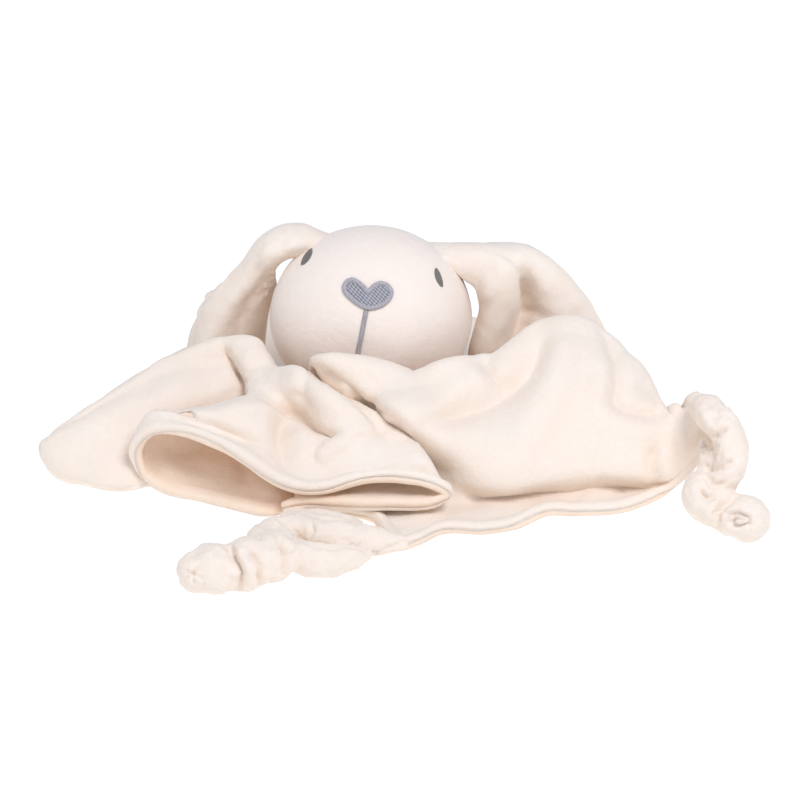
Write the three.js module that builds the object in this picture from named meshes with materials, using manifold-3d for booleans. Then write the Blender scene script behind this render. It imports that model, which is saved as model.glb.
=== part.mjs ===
// Bunny comforter: a stuffed round head with two drooping ears, sewn to the middle of a
// two-layer velour blanket that lies in folds, with a knotted tail at each corner.
// Millimetres, +Z up, the origin on the floor under the middle of the head, the face towards -Y.
import * as THREE from 'three';
import Module from 'manifold-3d';
import { mergeVertices } from 'three/addons/utils/BufferGeometryUtils.js';

const wasm = await Module();
wasm.setup();

// Driving sizes of the head
const headWidth = 96;
const headDepth = 87;
const headHeight = 87;
const headLift = 10.5; // from the floor to the underside of the head
const skin = 2; // plush thickness
const seat = 0.3; // clearance between pieces that touch
const lookUp = 24; // degrees by which the face looks up
const headSteps = 28; // facets round the head
const headRings = 16;
const panelSeamBack = 8; // the seam between face and back panel lies this far behind the middle

// Driving sizes of the blanket
const quarterSide = 100; // a quarter of the side of the flat blanket; its folds follow it
const velour = 2; // one layer of the blanket
const hemThickness = 6; // the stitched edge, both layers
const layerGap = 0.3; // between the two layers
const flatDepth = 0.5; // what the floor flattens off the lowest cloth
const neckCentreY = 10;
const neckRadius = 15;
const neckWall = 4;
const neckFolds = 12;
const neckRipple = 0.6; // depth of the gathers round the neck
const neckTop = 15; // height of the neck gather at its back

// Driving sizes of the ears
const earLength = 100; // the table of an ear is in hundredths of this
const earLayer = 1.7; // one panel of an ear

// Driving sizes of the knotted corners
const tailLength = 100; // the tables of the tails are in hundredths of this

// Driving sizes of the embroidery, as seen from the front of the face
const noseWidth = 23.6;
const noseHeight = 15.4;
const noseBorder = 2.2;
const threadHeight = 1;
const mouthWidth = 2.7;
const mouthLength = 22;
const eyeLength = 8.4;
const eyeWidth = 3.5;
const curvePoints = 7; // corners along each curve of an outline

// Colours from the photograph
const cream = { color: 0xf8ece1, roughness: 0.95, metalness: 0 };
const wadding = { color: 0xffffff, roughness: 1, metalness: 0 };
const thread = { color: 0x9b9da6, roughness: 0.7, metalness: 0 };
const darkThread = { color: 0x6f7074, roughness: 0.7, metalness: 0 };

const headCentre = new THREE.Vector3(0, 0, headLift + headHeight / 2);
const clothHalf = velour + layerGap / 2;
const restHeight = clothHalf - flatDepth;
const overrun = quarterSide; // how far cutting blocks reach past what they cut
const weld = 0.003; // corners closer than this are one
const sliver = 0.04; // edges and triangles thinner than this are left out
const weldRounds = 3;
const partingStep = 0.03; // how far a corner moves where folds touch

// Rings of the blanket from the neck to the hem. A row is a place round the blanket (0 at the
// right corner, 100 once round, clockwise from above) and x, y and lift above the lying cloth in
// hundredths of quarterSide. Between 20 and 48 the cloth folds back on itself twice, which gives
// the open mouth at the front left.
const baseShares = [
  [0, 110, -20, 0], [3, 102, -24, 0], [7, 88, -23, 0], [11, 66, -24, 0], [14, 41, -30, 1], [18, 16, -37, 2],
  [26, 0, -40, 2], [34, -14, -39, 2], [42, -30, -33, 2], [49, -44, -20, 0], [52, -60, -10, 0], [56, -88, -14, 0],
  [59, -76, 12, 0], [63, -46, 50, 0], [68, -26, 66, 0], [73, 0, 70, 0], [82, 42, 56, 0], [88, 68, 40, 0],
  [94, 98, 12, 0], [97.5, 109, -4, 0],
];
const backShares = [
  [0, 122, -52, 20], [3, 114, -40, 24], [7, 102, -24, 32], [11, 68, -28, 34], [14, 38, -43, 30],
  [18, 15, -48, 28], [21, -10, -47, 28], [26, -20, -46, 28], [30, -24, -47, 28],
  [36, -30, -46, 27], [42, -36, -38, 26],
  [47, -45, -27, 28], [50, -56, -17, 31], [52, -80, -20, 28], [54, -102, -36, 20], [56, -118, -46, 14],
  [59, -104, -16, 8], [63, -62, 62, 0], [66, -46, 76, 5], [70, -18, 88, 0], [75, 12, 90, 6], [79, 36, 82, 0],
  [82, 54, 74, 3], [88, 84, 48, 0], [94, 110, -4, 5], [97.5, 121, -30, 12],
];
const crestShares = [
  [0, 132, -62, 27], [3, 129, -52, 29], [5, 125, -42, 33], [6.5, 114, -32, 47], [8, 103, -27, 57],
  [9.5, 92, -26, 61], [11, 78, -30, 60], [12.3, 67, -36, 55], [13.4, 56, -44, 50], [14.2, 43, -49, 50],
  [15, 33, -53, 51], [16, 25, -55, 48], [17, 19, -55, 46], [18, 10, -57, 50], [19, -4, -58, 54],
  [20, -18, -58, 55], [21, -24, -53, 52], [22.5, -25, -49, 48], [24.5, -26, -47, 46],
  [26.5, -27, -50, 45], [27.8, -29, -56, 47],
  [30, -31, -58, 49], [33, -35, -56, 49], [36, -39, -51, 46], [39, -42, -47, 44], [42, -46, -42, 44],
  [46, -50, -34, 48], [49, -56, -29, 52], [50.5, -66, -28, 52], [52, -77, -29, 49], [53, -84, -33, 47],
  [54.3, -101, -43, 42], [55.5, -118, -54, 34], [56.5, -137, -64, 23], [58.5, -126, -34, 16],
  [60.5, -104, 14, 6], [63, -72, 72, 0], [66, -55, 92, 7], [70, -22, 106, 0], [75, 14, 106, 9], [79, 42, 94, 0],
  [82, 62, 88, 4], [88, 94, 48, 1], [94, 117, -10, 8], [97.5, 129, -38, 17],
];
const browShares = [
  [0, 137, -65, 34], [2, 135, -66, 31], [4, 130, -56, 34], [6.5, 121, -46, 47], [9, 100, -40, 57],
  [11, 80, -46, 55], [12.4, 64, -52, 50], [13.4, 50, -58, 46], [14.4, 36, -62, 46], [15.3, 25, -66, 46],
  [16.2, 16, -69, 45], [17.1, 7, -69, 45], [18, -1, -68, 46], [19, -10, -66, 49], [20, -18, -62, 53],
  [20.8, -22, -58, 51], [22.5, -20, -53, 45], [24.5, -17, -51, 41], [26, -15, -53, 39],
  [27.2, -16, -61, 40], [28.5, -20, -69, 45],
  [30, -24, -71, 48], [32, -30, -69, 47], [34, -36, -64, 45], [36, -40, -60, 43], [38, -46, -57, 41],
  [40, -52, -52, 39], [43, -54, -47, 38], [46, -55, -42, 41], [48.5, -61, -37, 44], [50.5, -67, -34, 44],
  [52, -77, -38, 44], [53, -87, -42, 42], [54.3, -105, -52, 38], [55.5, -122, -60, 31], [56.6, -142, -68, 20],
  [58.5, -134, -36, 11], [60.5, -112, 18, 4], [63, -76, 78, 0], [66, -60, 102, 8], [70, -24, 116, 0],
  [75, 16, 114, 10], [79, 46, 100, 1], [82, 65, 94, 4], [88, 100, 49, 0], [94, 121, -13, 9], [97.5, 134, -41, 19],
];
const faceShares = [
  [0, 141, -67, 34], [2, 137, -70, 30], [4, 130, -70, 28], [6.5, 120, -70, 34], [9, 100, -68, 40],
  [11, 80, -72, 38], [12.4, 62, -76, 35], [13.4, 40, -80, 34], [14.4, 26, -85, 36], [15.3, 15, -86, 39],
  [16, 8, -79, 39], [16.6, 5, -72, 37], [17.4, 2, -64, 32], [20, -10, -62, 28], [21.5, -9, -64, 21], [24, 1, -66, 18],
  [26.2, 10, -75, 23], [27, 13, -82, 29], [28, 5, -84, 30], [29.2, -3, -85, 36], [30.5, -10, -86, 37], [31.6, -17, -84, 36],
  [32.8, -24, -79, 34], [34.2, -31, -74, 33], [36, -38, -74, 37], [38, -48, -76, 42], [39.5, -56, -71, 41],
  [41, -54, -60, 32], [44, -50, -53, 22], [46.4, -45, -50, 22], [48.2, -49, -43, 27], [50, -60, -43, 34], [52, -77, -55, 36],
  [54, -108, -64, 31], [55.5, -128, -69, 25], [56.6, -145, -70, 18], [58.5, -140, -36, 8], [60.5, -118, 24, 2],
  [63, -80, 84, 0], [66, -64, 112, 8], [70, -26, 124, 0], [75, 18, 120, 9], [79, 50, 104, 2], [82, 68, 100, 2],
  [88, 106, 50, 0], [94, 127, -16, 8], [97.5, 138, -43, 19],
];
const bellyShares = [
  [0, 144, -70, 38], [1.5, 144, -78, 26], [3, 138, -80, 17], [4.2, 129, -82, 12], [6.5, 112, -86, 12],
  [8.8, 98, -85, 13], [11, 79, -91, 12], [12.2, 63, -96, 12], [13.4, 48, -95, 13], [14.4, 34, -86, 12], [15.3, 24, -74, 8], [16.2, 16, -70, 5], [17.2, 8, -69, 3], [19, -12, -78, 3], [20.5, -30, -90, 8],
  [23, -1, -93, 13], [25, 17, -92, 15], [26.4, 24, -93, 18], [27, 25, -98, 23], [28, 14, -100, 23],
  [29.5, 1, -101, 23], [31, -14, -101, 22], [32.5, -25, -98, 22], [34, -36, -97, 27], [35.5, -47, -94, 33],
  [37, -58, -92, 39], [38.3, -74, -88, 42], [39.3, -90, -82, 36], [40.2, -94, -74, 32], [41.5, -84, -70, 18],
  [44, -62, -76, 13], [46.4, -41, -80, 10], [47.7, -34, -74, 6], [49, -46, -62, 3], [51, -80, -63, 5],
  [53, -106, -79, 8], [54.8, -128, -79, 8], [56.5, -146, -70, 11], [58.5, -139, -36, 4], [60.5, -120, 30, 1],
  [63, -84, 90, 0], [66, -68, 122, 7], [70, -28, 132, 0], [75, 20, 126, 6], [79, 54, 108, 2], [82, 72, 104, 1],
  [88, 112, 52, 0], [94, 133, -18, 6], [97.5, 141, -46, 18],
];
const underShares = [
  [0, 146, -71, 40], [1.2, 148, -77, 29], [2.4, 146, -78, 18], [3.6, 137, -80, 8], [5, 127, -80, 1],
  [6.5, 115, -79, 1], [8.8, 97, -82, 1], [11, 78, -86, 1], [12.4, 60, -90, 1], [13.6, 44, -94, 1],
  [14.6, 32, -100, 1], [15.4, 23, -111, 1], [16.4, 16, -115, 1], [17.2, 7, -104, 1], [19, -20, -98, 2], [20.5, -31, -104, 6], [22, -20, -102, 10], [23.5, 0, -102, 10], [25.3, 20, -100, 10], [26.4, 31, -104, 10],
  [27, 32, -104, 15], [27.8, 24, -104, 19], [28.6, 15, -105, 20], [30, 1, -106, 20], [31.5, -14, -107, 18],
  [32.8, -26, -107, 18], [34, -37, -104, 22], [35, -46, -101, 28], [36.3, -57, -97, 32], [37.7, -74, -91, 37],
  [39.2, -97, -82, 38], [40.2, -102, -79, 25], [41.2, -96, -77, 14], [42.4, -84, -84, 8], [43.8, -68, -90, 7],
  [45.4, -50, -96, 7], [46.8, -38, -96, 6], [47.8, -31, -84, 3], [49, -44, -72, 1], [51, -80, -70, 2],
  [53, -106, -79, 3], [54.8, -126, -77, 3], [56.5, -143, -67, 3], [58.5, -142, -35, 1], [60.5, -123, 32, 0],
  [63, -86, 93, 0], [66, -69, 126, 5], [70, -29, 136, 0], [75, 21, 129, 4], [79, 56, 112, 2], [82, 74, 106, 0],
  [88, 115, 53, 0], [94, 138, -20, 3], [97.5, 145, -48, 16],
];
const hemShares = [
  [0, 149, -72, 40], [0.9, 151, -75, 30], [1.8, 150, -77, 20], [2.9, 146, -78, 9], [3.8, 139, -82, 3],
  [5, 130, -88, 1], [6.3, 118, -97, 0], [7.5, 106, -102, 0], [8.8, 92, -103, 0], [10, 78, -105, 1],
  [10.8, 70, -111, 1], [11.6, 62, -117, 0], [12.5, 51, -121, 0], [14, 31, -121, 0], [15, 20, -133, 1],
  [15.8, 12, -138, 1], [16.6, 7, -128, 1], [17.4, 2, -112, 1], [18.6, -18, -104, 1], [19.6, -33, -105, 3], [20.5, -38, -113, 6], [21.5, -29, -113, 8], [23, -8, -113, 7], [24.3, 6, -113, 7], [26.3, 30, -110, 7],
  [27, 36, -108, 10], [27.8, 31, -110, 16], [28.6, 22, -110, 19], [30.4, -1, -110, 20], [32, -21, -115, 16],
  [33.3, -36, -115, 18], [34.2, -46, -112, 22], [35, -55, -109, 28], [36.5, -71, -100, 34], [38, -87, -93, 34],
  [39.2, -99, -88, 28], [40, -104, -85, 18], [40.8, -102, -84, 8], [41.8, -93, -88, 2], [43.3, -75, -95, 1],
  [45, -56, -105, 1], [46, -47, -109, 1], [47, -37, -106, 1], [47.9, -27, -94, 1], [49.2, -42, -81, 0],
  [51, -80, -77, 0], [53, -106, -78, 0], [54.5, -121, -74, 0], [56, -136, -63, 0], [57.3, -144, -46, 0],
  [60, -130, 24, 0], [63, -88, 96, 1], [66, -71, 130, 4], [70, -30, 140, 0], [75, 22, 132, 3], [79, 58, 116, 2],
  [82, 76, 110, 0], [85, 98, 86, 0], [88, 118, 54, 0], [94, 143, -22, 0], [97.5, 149, -51, 14],
];

// Where the rings lie between the neck (0) and the hem (1), and where the mesh has its rows.
const footShare = 0.1;
const ringPlaces = [
  [0.2, baseShares], [0.32, backShares], [0.43, crestShares], [0.52, browShares],
  [0.66, faceShares], [0.81, bellyShares], [0.91, underShares], [1, hemShares],
];
const rowShares = [0, 0.12, 0.22, 0.32, 0.43, 0.52, 0.59, 0.66, 0.735, 0.81, 0.87, 0.94, 1];
const columnShares = [
  0, 1.8, 3.8, 6.3, 8.8, 11, 12.7, 14.2, 15.3, 16.2, 17.3, 19, 20.6, 26.9, 27.9, 29.2, 30.6, 32,
  33.6, 35.2, 36.8, 38.2, 39.4, 40.3, 41.4, 43, 45, 46.8, 48, 49.3, 51, 53, 54.8, 56.5, 58.4, 60.5, 63, 66, 70,
  75, 79, 82, 86, 90, 94, 97.5,
];
const hemRowShare = 0.94; // the thickest row of the hem
const bodyRowShare = 0.87; // the row where the hem begins
const edgeShare = 0.2; // how thick the outermost edge of the hem is, in shares of the hem

// How the velour is pressed where a fold is tighter than its thickness.
const pressRounds = 8;
const pressShare = 0.85;
const leastSwell = 0.3;
const leastFacing = 0.05;
const facingShare = 0.3;
const sampleShares = [0.1, 0.37, 0.63, 0.9];

// The directions in which the rings leave the neck: place round the blanket, degrees.
const neckAngles = [
    [0, -8], [8, -22], [11, -32], [14, -58], [17.5, -80], [30, -102], [40, -128], [46, -148], [50, -165],
  [54, -188], [59, -207], [63, -222], [73, -265], [82, -305], [91, -340],
];
const footRadiusShare = 0.38; // of quarterSide
const footCentreShare = 0.04;

// Ears: rows from the root to the tip, each across from one edge to the other, in hundredths of
// earLength, measured from the middle of the head (z from the floor under it).
const leftEarShares = [
  [[-20, 24, 84], [-20, 16, 88], [-21, 8, 90], [-24, 2, 88], [-28, 6, 82]],
  [[-32, 22, 89], [-33, 14, 94], [-34, 5, 95], [-37, -3, 91], [-38, 4, 83]],
  [[-46, 20, 88], [-48, 12, 92], [-48, 3, 91], [-48, -3, 85], [-45, 8, 77]],
  [[-61, 16, 75], [-61, 10, 75], [-59, 3, 71], [-54, 6, 66], [-46, 18, 62]],
  [[-74, 14, 59], [-74, 9, 59], [-70, 1, 55], [-61, 6, 52], [-50, 20, 50]],
  [[-86, 14, 42], [-85, 9, 41], [-79, 0, 37], [-66, 8, 36], [-52, 22, 36]],
  [[-88, 16, 22], [-86, 11, 20], [-79, 5, 18], [-67, 12, 17], [-54, 24, 19]],
  [[-82, 18, 12], [-79, 15, 11], [-73, 13, 10], [-66, 17, 10], [-60, 22, 12]],
];
const rightEarShares = [
  [[27, -1, 84], [25, 3, 88], [24, 10, 89], [24, 18, 87], [25, 22, 84], [27, 26, 80]],
  [[38, -4, 77], [38, -1, 86], [38, 8, 90], [38, 17, 87], [39, 21, 81], [41, 22, 75]],
    [[51, -4, 78], [51, -1, 86], [51, 8, 90], [51, 17, 86], [51, 21, 74], [52, 22, 62]],
  [[64, -4, 80], [64, -1, 86], [65, 7, 90], [64, 18, 84], [60, 22, 60], [54, 22, 34]],
  [[76, -3, 80], [78, 1, 85], [79, 8, 87], [76, 20, 78], [68, 24, 54], [60, 24, 26]],
  [[86, 0, 72], [90, 3, 75], [90, 9, 76], [86, 20, 66], [76, 26, 44], [68, 26, 20]],
  [[95, 0, 58], [100, 4, 62], [101, 9, 62], [95, 20, 52], [84, 26, 34], [76, 26, 15]],
  [[103, 1, 42], [109, 5, 46], [109, 10, 46], [102, 18, 38], [92, 24, 27], [84, 24, 13]],
  [[104, 4, 26], [110, 7, 28], [110, 11, 28], [103, 16, 23], [96, 20, 17], [90, 20, 12]],
];

// Knotted corners: each strand is a row of x, y, z and radius, in hundredths of tailLength.
const frontLeftTailShares = [
    [[14, -137.5, 6, 3.5], [5, -137, 6, 6], [-6, -139, 8, 7.5], [-18, -139, 9, 7.5], [-28, -131, 9, 6], [-34, -119, 7, 4.5], [-34, -110, 4.5, 3.5]],
  [[-1, -148, 5, 3], [-8, -152, 6.5, 6], [-19, -156, 7, 7.5], [-30, -152, 8, 7], [-36, -144, 10, 6]],
  [[-28, -133, 9, 6], [-38, -134, 9, 7], [-44, -146, 10, 7.5], [-42, -156, 10, 9]],
  [[-37, -152, 10, 9], [-40, -160, 10.5, 10.5], [-45, -163, 10.5, 9]],
  [[-45, -160, 10.5, 9.5], [-50, -166, 10.8, 11.4], [-56, -168, 10.5, 9.5]],
  [[-57, -167, 10.5, 9], [-64, -170, 10.6, 10.8], [-69, -172, 10.4, 8.5]],
];
const rightTailShares = [
    [[147, -77, 41, 4.5], [148, -83, 44, 6.5], [150, -91, 44.5, 7.5], [156, -102, 39, 7.5], [157, -110, 30, 7], [152, -110, 20, 8]],
  [[150, -88, 27, 5], [152, -97, 26, 7.5], [151, -106, 20, 8]],
  [[152, -103, 19, 8], [146, -111, 15, 10], [150, -117, 12, 9]],
  [[150, -115, 12, 9], [157, -120, 10.5, 9.5], [163, -124, 10.2, 10.2]],
];
const backLeftTailShares = [
  [[-87.5, 102, 6, 4.5], [-88, 111, 8, 6.5], [-86, 124, 8.5, 7.5], [-79, 136, 8.5, 7]],
  [[-85, 133, 9, 8], [-77, 138, 10, 10], [-70, 143, 9, 8]],
  [[-76, 143, 9, 8.5], [-69, 150, 10, 10.4], [-63, 156, 9.5, 8.5]],
];
const backRightTailShares = [
  [[75, 115, 5, 5], [75, 127, 7, 7], [75, 137, 8, 7.5], [74, 145, 8, 7]],
  [[67, 142, 9, 8], [75, 147, 10, 10], [82, 150, 9, 8]],
  [[75, 153, 9, 8.5], [74, 163, 10, 10.4], [72, 171, 9.5, 8.5]],
];
const tailSides = 8;
const tailStepsPerPoint = 2;
const capShare = 0.7; // how far the round end of a strand reaches, in shares of its radius

// A slope through uneven steps, the same on both sides of a key.
function slopeAt(before, here, after, stepBefore, stepAfter) {
  const into = (here - before) / stepBefore;
  const outOf = (after - here) / stepAfter;
  return (into * stepAfter + outOf * stepBefore) / (stepBefore + stepAfter);
}

function hermite(from, to, slopeFrom, slopeTo, step, share) {
  const rest = 1 - share;
  const start = (1 + 2 * share) * rest * rest * from + share * rest * rest * step * slopeFrom;
  const end = share * share * (3 - 2 * share) * to - share * share * rest * step * slopeTo;
  return start + end;
}

// A point of the closed smooth curve through a ring's rows.
function ringPoint(rows, place) {
  const count = rows.length;
  let index = rows.findIndex((row) => row[0] > place) - 1;
  if (index === -2) index = count - 1;
  const turnsOf = (i) => 100 * Math.floor(i / count);
  const row = (i) => rows[((i % count) + count) % count];
  const placeOf = (i) => row(i)[0] + turnsOf(i);
  const step = (i) => placeOf(i + 1) - placeOf(i);
  const share = (place - placeOf(index)) / step(index);
  const point = [1, 2, 3].map((axis) => {
    const value = (i) => row(i)[axis];
    const slope = (i) => slopeAt(value(i - 1), value(i), value(i + 1), step(i - 1), step(i));
    return hermite(value(index), value(index + 1), slope(index), slope(index + 1), step(index), share);
  });
  return new THREE.Vector3(...point).multiplyScalar(quarterSide / 100);
}

// A point of a flat circle round the neck, in the direction of a place round the blanket.
function circlePoint(radius, centreY, place) {
  const index = neckAngles.findLastIndex((row) => row[0] <= place);
  const [fromPlace, fromAngle] = neckAngles[index];
  const [toPlace, toAngle] = neckAngles[index + 1] ?? [100, neckAngles[0][1] - 360];
  const share = (place - fromPlace) / (toPlace - fromPlace);
  const angle = THREE.MathUtils.degToRad(fromAngle + share * (toAngle - fromAngle));
  return new THREE.Vector3(radius * Math.cos(angle), centreY + radius * Math.sin(angle), 0);
}

// One column of the blanket: its points from the neck out to the hem.
function columnPoints(place) {
  const holeRadius = neckRadius + neckRipple + seat;
  const knots = [
    [0, circlePoint(holeRadius, neckCentreY, place)],
    [footShare, circlePoint(footRadiusShare * quarterSide, footCentreShare * quarterSide, place)],
    ...ringPlaces.map(([share, rows]) => [share, ringPoint(rows, place)]),
  ];
  return rowShares.map((share) => {
    const index = Math.min(knots.findLastIndex((knot) => knot[0] <= share), knots.length - 2);
    const at = (i) => knots[Math.min(Math.max(i, 0), knots.length - 1)];
    const step = (i) => at(i + 1)[0] - at(i)[0];
    const local = (share - at(index)[0]) / step(index);
    const parts = ['x', 'y', 'z'].map((axis) => {
      const slope = (i) => {
        if (i === 0) return (at(1)[1][axis] - at(0)[1][axis]) / step(0);
        if (i === knots.length - 1) return (at(i)[1][axis] - at(i - 1)[1][axis]) / step(i - 1);
        return slopeAt(at(i - 1)[1][axis], at(i)[1][axis], at(i + 1)[1][axis], step(i - 1), step(i));
      };
      return hermite(at(index)[1][axis], at(index + 1)[1][axis], slope(index), slope(index + 1), step(index), local);
    });
    return new THREE.Vector3(parts[0], parts[1], Math.max(parts[2], 0));
  });
}

// Half the thickness of both layers together in a row of the blanket.
function halfThickness(share) {
  const hemHalf = hemThickness / 2;
  if (share <= bodyRowShare) return clothHalf;
  if (share <= hemRowShare) {
    return clothHalf + (hemHalf - clothHalf) * (share - bodyRowShare) / (hemRowShare - bodyRowShare);
  }
  return hemHalf * (1 - (1 - edgeShare) * (share - hemRowShare) / (1 - hemRowShare));
}

// Points spread over every cell of the net, each with its cell.
function cellSamples(grid) {
  const columns = grid[0].length;
  const samples = [];
  for (let i = 0; i < grid.length - 1; i += 1) {
    for (let j = 0; j < columns; j += 1) {
      const next = (j + 1) % columns;
      for (const down of sampleShares) {
        for (const across of sampleShares) {
          const near = grid[i][j].clone().lerp(grid[i + 1][j], down);
          const far = grid[i][next].clone().lerp(grid[i + 1][next], down);
          samples.push({ i, j, point: near.lerp(far, across) });
        }
      }
    }
  }
  return samples;
}

// How far a point may swell to one side before it meets another layer of the blanket.
function roomFactor(samples, columns, i, j, point, outward) {
  let nearest = Infinity;
  for (const sample of samples) {
    const besideRow = sample.i === i || sample.i === i - 1;
    const besideColumn = sample.j === j || (sample.j + 1) % columns === j;
    if (besideRow && besideColumn) continue;
    const way = sample.point.clone().sub(point);
    const distance = way.length();
    if (distance < nearest && way.dot(outward) > facingShare * distance) nearest = distance;
  }
  return Math.min(1, Math.max(nearest / 2 - seat, 0) / halfThickness(rowShares[i]));
}

// How far each point of the blanket may swell to one side, 1 or less where a fold is too tight
// for its thickness, because the velour is pressed flat there.
function swellFactors(grid, normals, side) {
  const columns = grid[0].length;
  const samples = cellSamples(grid);
  const factors = grid.map((line, i) => line.map((point, j) => {
    const outward = normals[i][j].clone().multiplyScalar(side);
    return roomFactor(samples, columns, i, j, point, outward);
  }));
  const swollen = ([i, j]) => {
    const half = side * halfThickness(rowShares[i]) * factors[i][j];
    return grid[i][j].clone().addScaledVector(normals[i][j], half);
  };
  const faceNormal = (a, b, c) => b.clone().sub(a).cross(c.clone().sub(a));
  for (let round = 0; round < pressRounds; round += 1) {
    for (let i = 0; i < grid.length - 1; i += 1) {
      for (let j = 0; j < columns; j += 1) {
        const next = (j + 1) % columns;
        for (const corners of [[[i, j], [i, next], [i + 1, next]], [[i, j], [i + 1, next], [i + 1, j]]]) {
          const flat = faceNormal(...corners.map(([r, c]) => grid[r][c]));
          const turned = flat.dot(faceNormal(...corners.map(swollen))) < leastFacing * flat.lengthSq();
          if (turned) for (const [r, c] of corners) factors[r][c] *= pressShare;
        }
      }
    }
  }
  return factors.map((line) => line.map((factor) => Math.max(factor, leastSwell)));
}

// The middle surface of the blanket: rows of points from the neck to the hem.
function blanketGrid() {
  const columns = columnShares.map(columnPoints);
  return rowShares.map((share, row) => columns.map((column) => {
    const point = column[row].clone();
    point.z += halfThickness(share) - flatDepth;
    return point;
  }));
}

// Unit normals of a grid of points, upwards where it lies flat.
function gridNormals(grid, closed) {
  const rows = grid.length;
  const columns = grid[0].length;
  const clampRow = (i) => Math.min(Math.max(i, 0), rows - 1);
  const nextColumn = (j) => (closed ? (j + columns) % columns : Math.min(Math.max(j, 0), columns - 1));
  const heading = (from, here, to) => {
    const before = here.clone().sub(from).normalize();
    const after = to.clone().sub(here).normalize();
    return before.add(after).normalize();
  };
  return grid.map((line, i) => line.map((point, j) => {
    const across = heading(grid[i][nextColumn(j - 1)], point, grid[i][nextColumn(j + 1)]);
    const along = heading(grid[clampRow(i - 1)][j], point, grid[clampRow(i + 1)][j]);
    return across.cross(along).normalize();
  }));
}

// A closed body between two grids of the same size that don't run round.
function bodyBetween(upper, lower) {
  const rows = upper.length;
  const columns = upper[0].length;
  const points = [...upper.flat(), ...lower.flat()];
  const top = (i, j) => i * columns + j;
  const bottom = (i, j) => rows * columns + i * columns + j;
  const faces = [];
  const quad = (a, b, c, d) => faces.push(a, b, c, a, c, d);
  for (let i = 0; i < rows - 1; i += 1) {
    for (let j = 0; j < columns - 1; j += 1) {
      quad(top(i, j), top(i, j + 1), top(i + 1, j + 1), top(i + 1, j));
      quad(bottom(i, j), bottom(i + 1, j), bottom(i + 1, j + 1), bottom(i, j + 1));
    }
  }
  for (let j = 0; j < columns - 1; j += 1) {
    quad(top(rows - 1, j), top(rows - 1, j + 1), bottom(rows - 1, j + 1), bottom(rows - 1, j));
    quad(top(0, j + 1), top(0, j), bottom(0, j), bottom(0, j + 1));
  }
  for (let i = 0; i < rows - 1; i += 1) {
    quad(top(i, 0), top(i + 1, 0), bottom(i + 1, 0), bottom(i, 0));
    quad(top(i + 1, columns - 1), top(i, columns - 1), bottom(i, columns - 1), bottom(i + 1, columns - 1));
  }
  return indexed(points, faces);
}

function indexed(points, faces) {
  const geometry = new THREE.BufferGeometry();
  geometry.setAttribute('position', new THREE.Float32BufferAttribute(points.flatMap((p) => p.toArray()), 3));
  geometry.setIndex(faces);
  return geometry;
}

// One cell of a layer of cloth: four points above, four below, with the same diagonal in the side
// that two cells share.
function cellSolid(upper, lower, i, j) {
  const next = (j + 1) % upper[0].length;
  const corners = [[i, j], [i, next], [i + 1, next], [i + 1, j]];
  const points = [...corners.map(([r, c]) => upper[r][c]), ...corners.map(([r, c]) => lower[r][c])];
  const faces = [0, 1, 2, 0, 2, 3, 4, 6, 5, 4, 7, 6];
  for (const [from, to] of [[0, 1], [1, 2], [3, 2], [0, 3]]) {
    const outward = from === 3 || (from === 0 && to === 3) ? 1 : -1;
    const side = [from, from + 4, to + 4, from, to + 4, to];
    faces.push(...(outward === 1 ? side.reverse() : side));
  }
  return toSolid(indexed(points, faces));
}

// A layer of cloth that runs round the neck, joined from its cells so that folds which touch
// become one body. A filled layer is drawn together in the middle.
function clothSolid(upper, lower, filled) {
  const cells = [];
  for (let i = 0; i < upper.length - 1; i += 1) {
    for (let j = 0; j < upper[0].length; j += 1) cells.push(cellSolid(upper, lower, i, j));
  }
  if (filled) cells.push(toSolid(closedTube([upper[0], lower[0]])));
  return wasm.Manifold.union(cells);
}

// Closed geometry to a solid, with its faces turned outwards, and back.
function toSolid(geometry) {
  const bare = geometry.clone();
  bare.deleteAttribute('normal');
  bare.deleteAttribute('uv');
  const merged = mergeVertices(bare, weld);
  const triVerts = Uint32Array.from(merged.index.array);
  const build = (tris) => new wasm.Manifold(new wasm.Mesh({
    numProp: 3,
    vertProperties: Float32Array.from(merged.attributes.position.array),
    triVerts: tris,
  }));
  const solid = build(triVerts);
  if (solid.volume() > 0) return solid;
  return build(triVerts.reverse());
}

function toGeometry(solid) {
  const mesh = solid.getMesh();
  const geometry = new THREE.BufferGeometry();
  geometry.setAttribute('position', new THREE.Float32BufferAttribute(mesh.vertProperties, 3));
  geometry.setIndex(Array.from(mesh.triVerts));
  return geometry;
}

// A block that takes away everything below the floor.
function belowFloor() {
  const side = 6 * quarterSide;
  const block = new THREE.BoxGeometry(side, side, overrun);
  block.translate(0, 0, -overrun / 2);
  return toSolid(block);
}

// The head's outer ellipsoid, grown or shrunk by a distance.
function headSolid(grown) {
  const ball = new THREE.SphereGeometry(1, headSteps, headRings);
  ball.rotateX(Math.PI / 2);
  ball.scale(headWidth / 2 + grown, headDepth / 2 + grown, headHeight / 2 + grown);
  ball.translate(headCentre.x, headCentre.y, headCentre.z);
  return toSolid(ball);
}

// Turns geometry made in the plane of the face (x right, y up, z towards the viewer) into place.
function faceWards(geometry) {
  const up = Math.PI / 2 - THREE.MathUtils.degToRad(lookUp);
  geometry.rotateX(up);
  geometry.translate(headCentre.x, headCentre.y, headCentre.z);
  return geometry;
}

// An outline in the plane of the face, driven forwards through the head.
function facePrism(shape) {
  const options = { depth: headDepth, bevelEnabled: false };
  return toSolid(faceWards(new THREE.ExtrudeGeometry(shape, options)));
}

// A pad of thread on the face: an outline kept between two skins, with a hole if one is given.
function threadPad(shape, hole) {
  const over = headSolid(seat + threadHeight);
  const pad = over.subtract(headSolid(seat)).intersect(facePrism(shape));
  return toGeometry(hole ? pad.subtract(facePrism(hole)) : pad);
}

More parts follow.
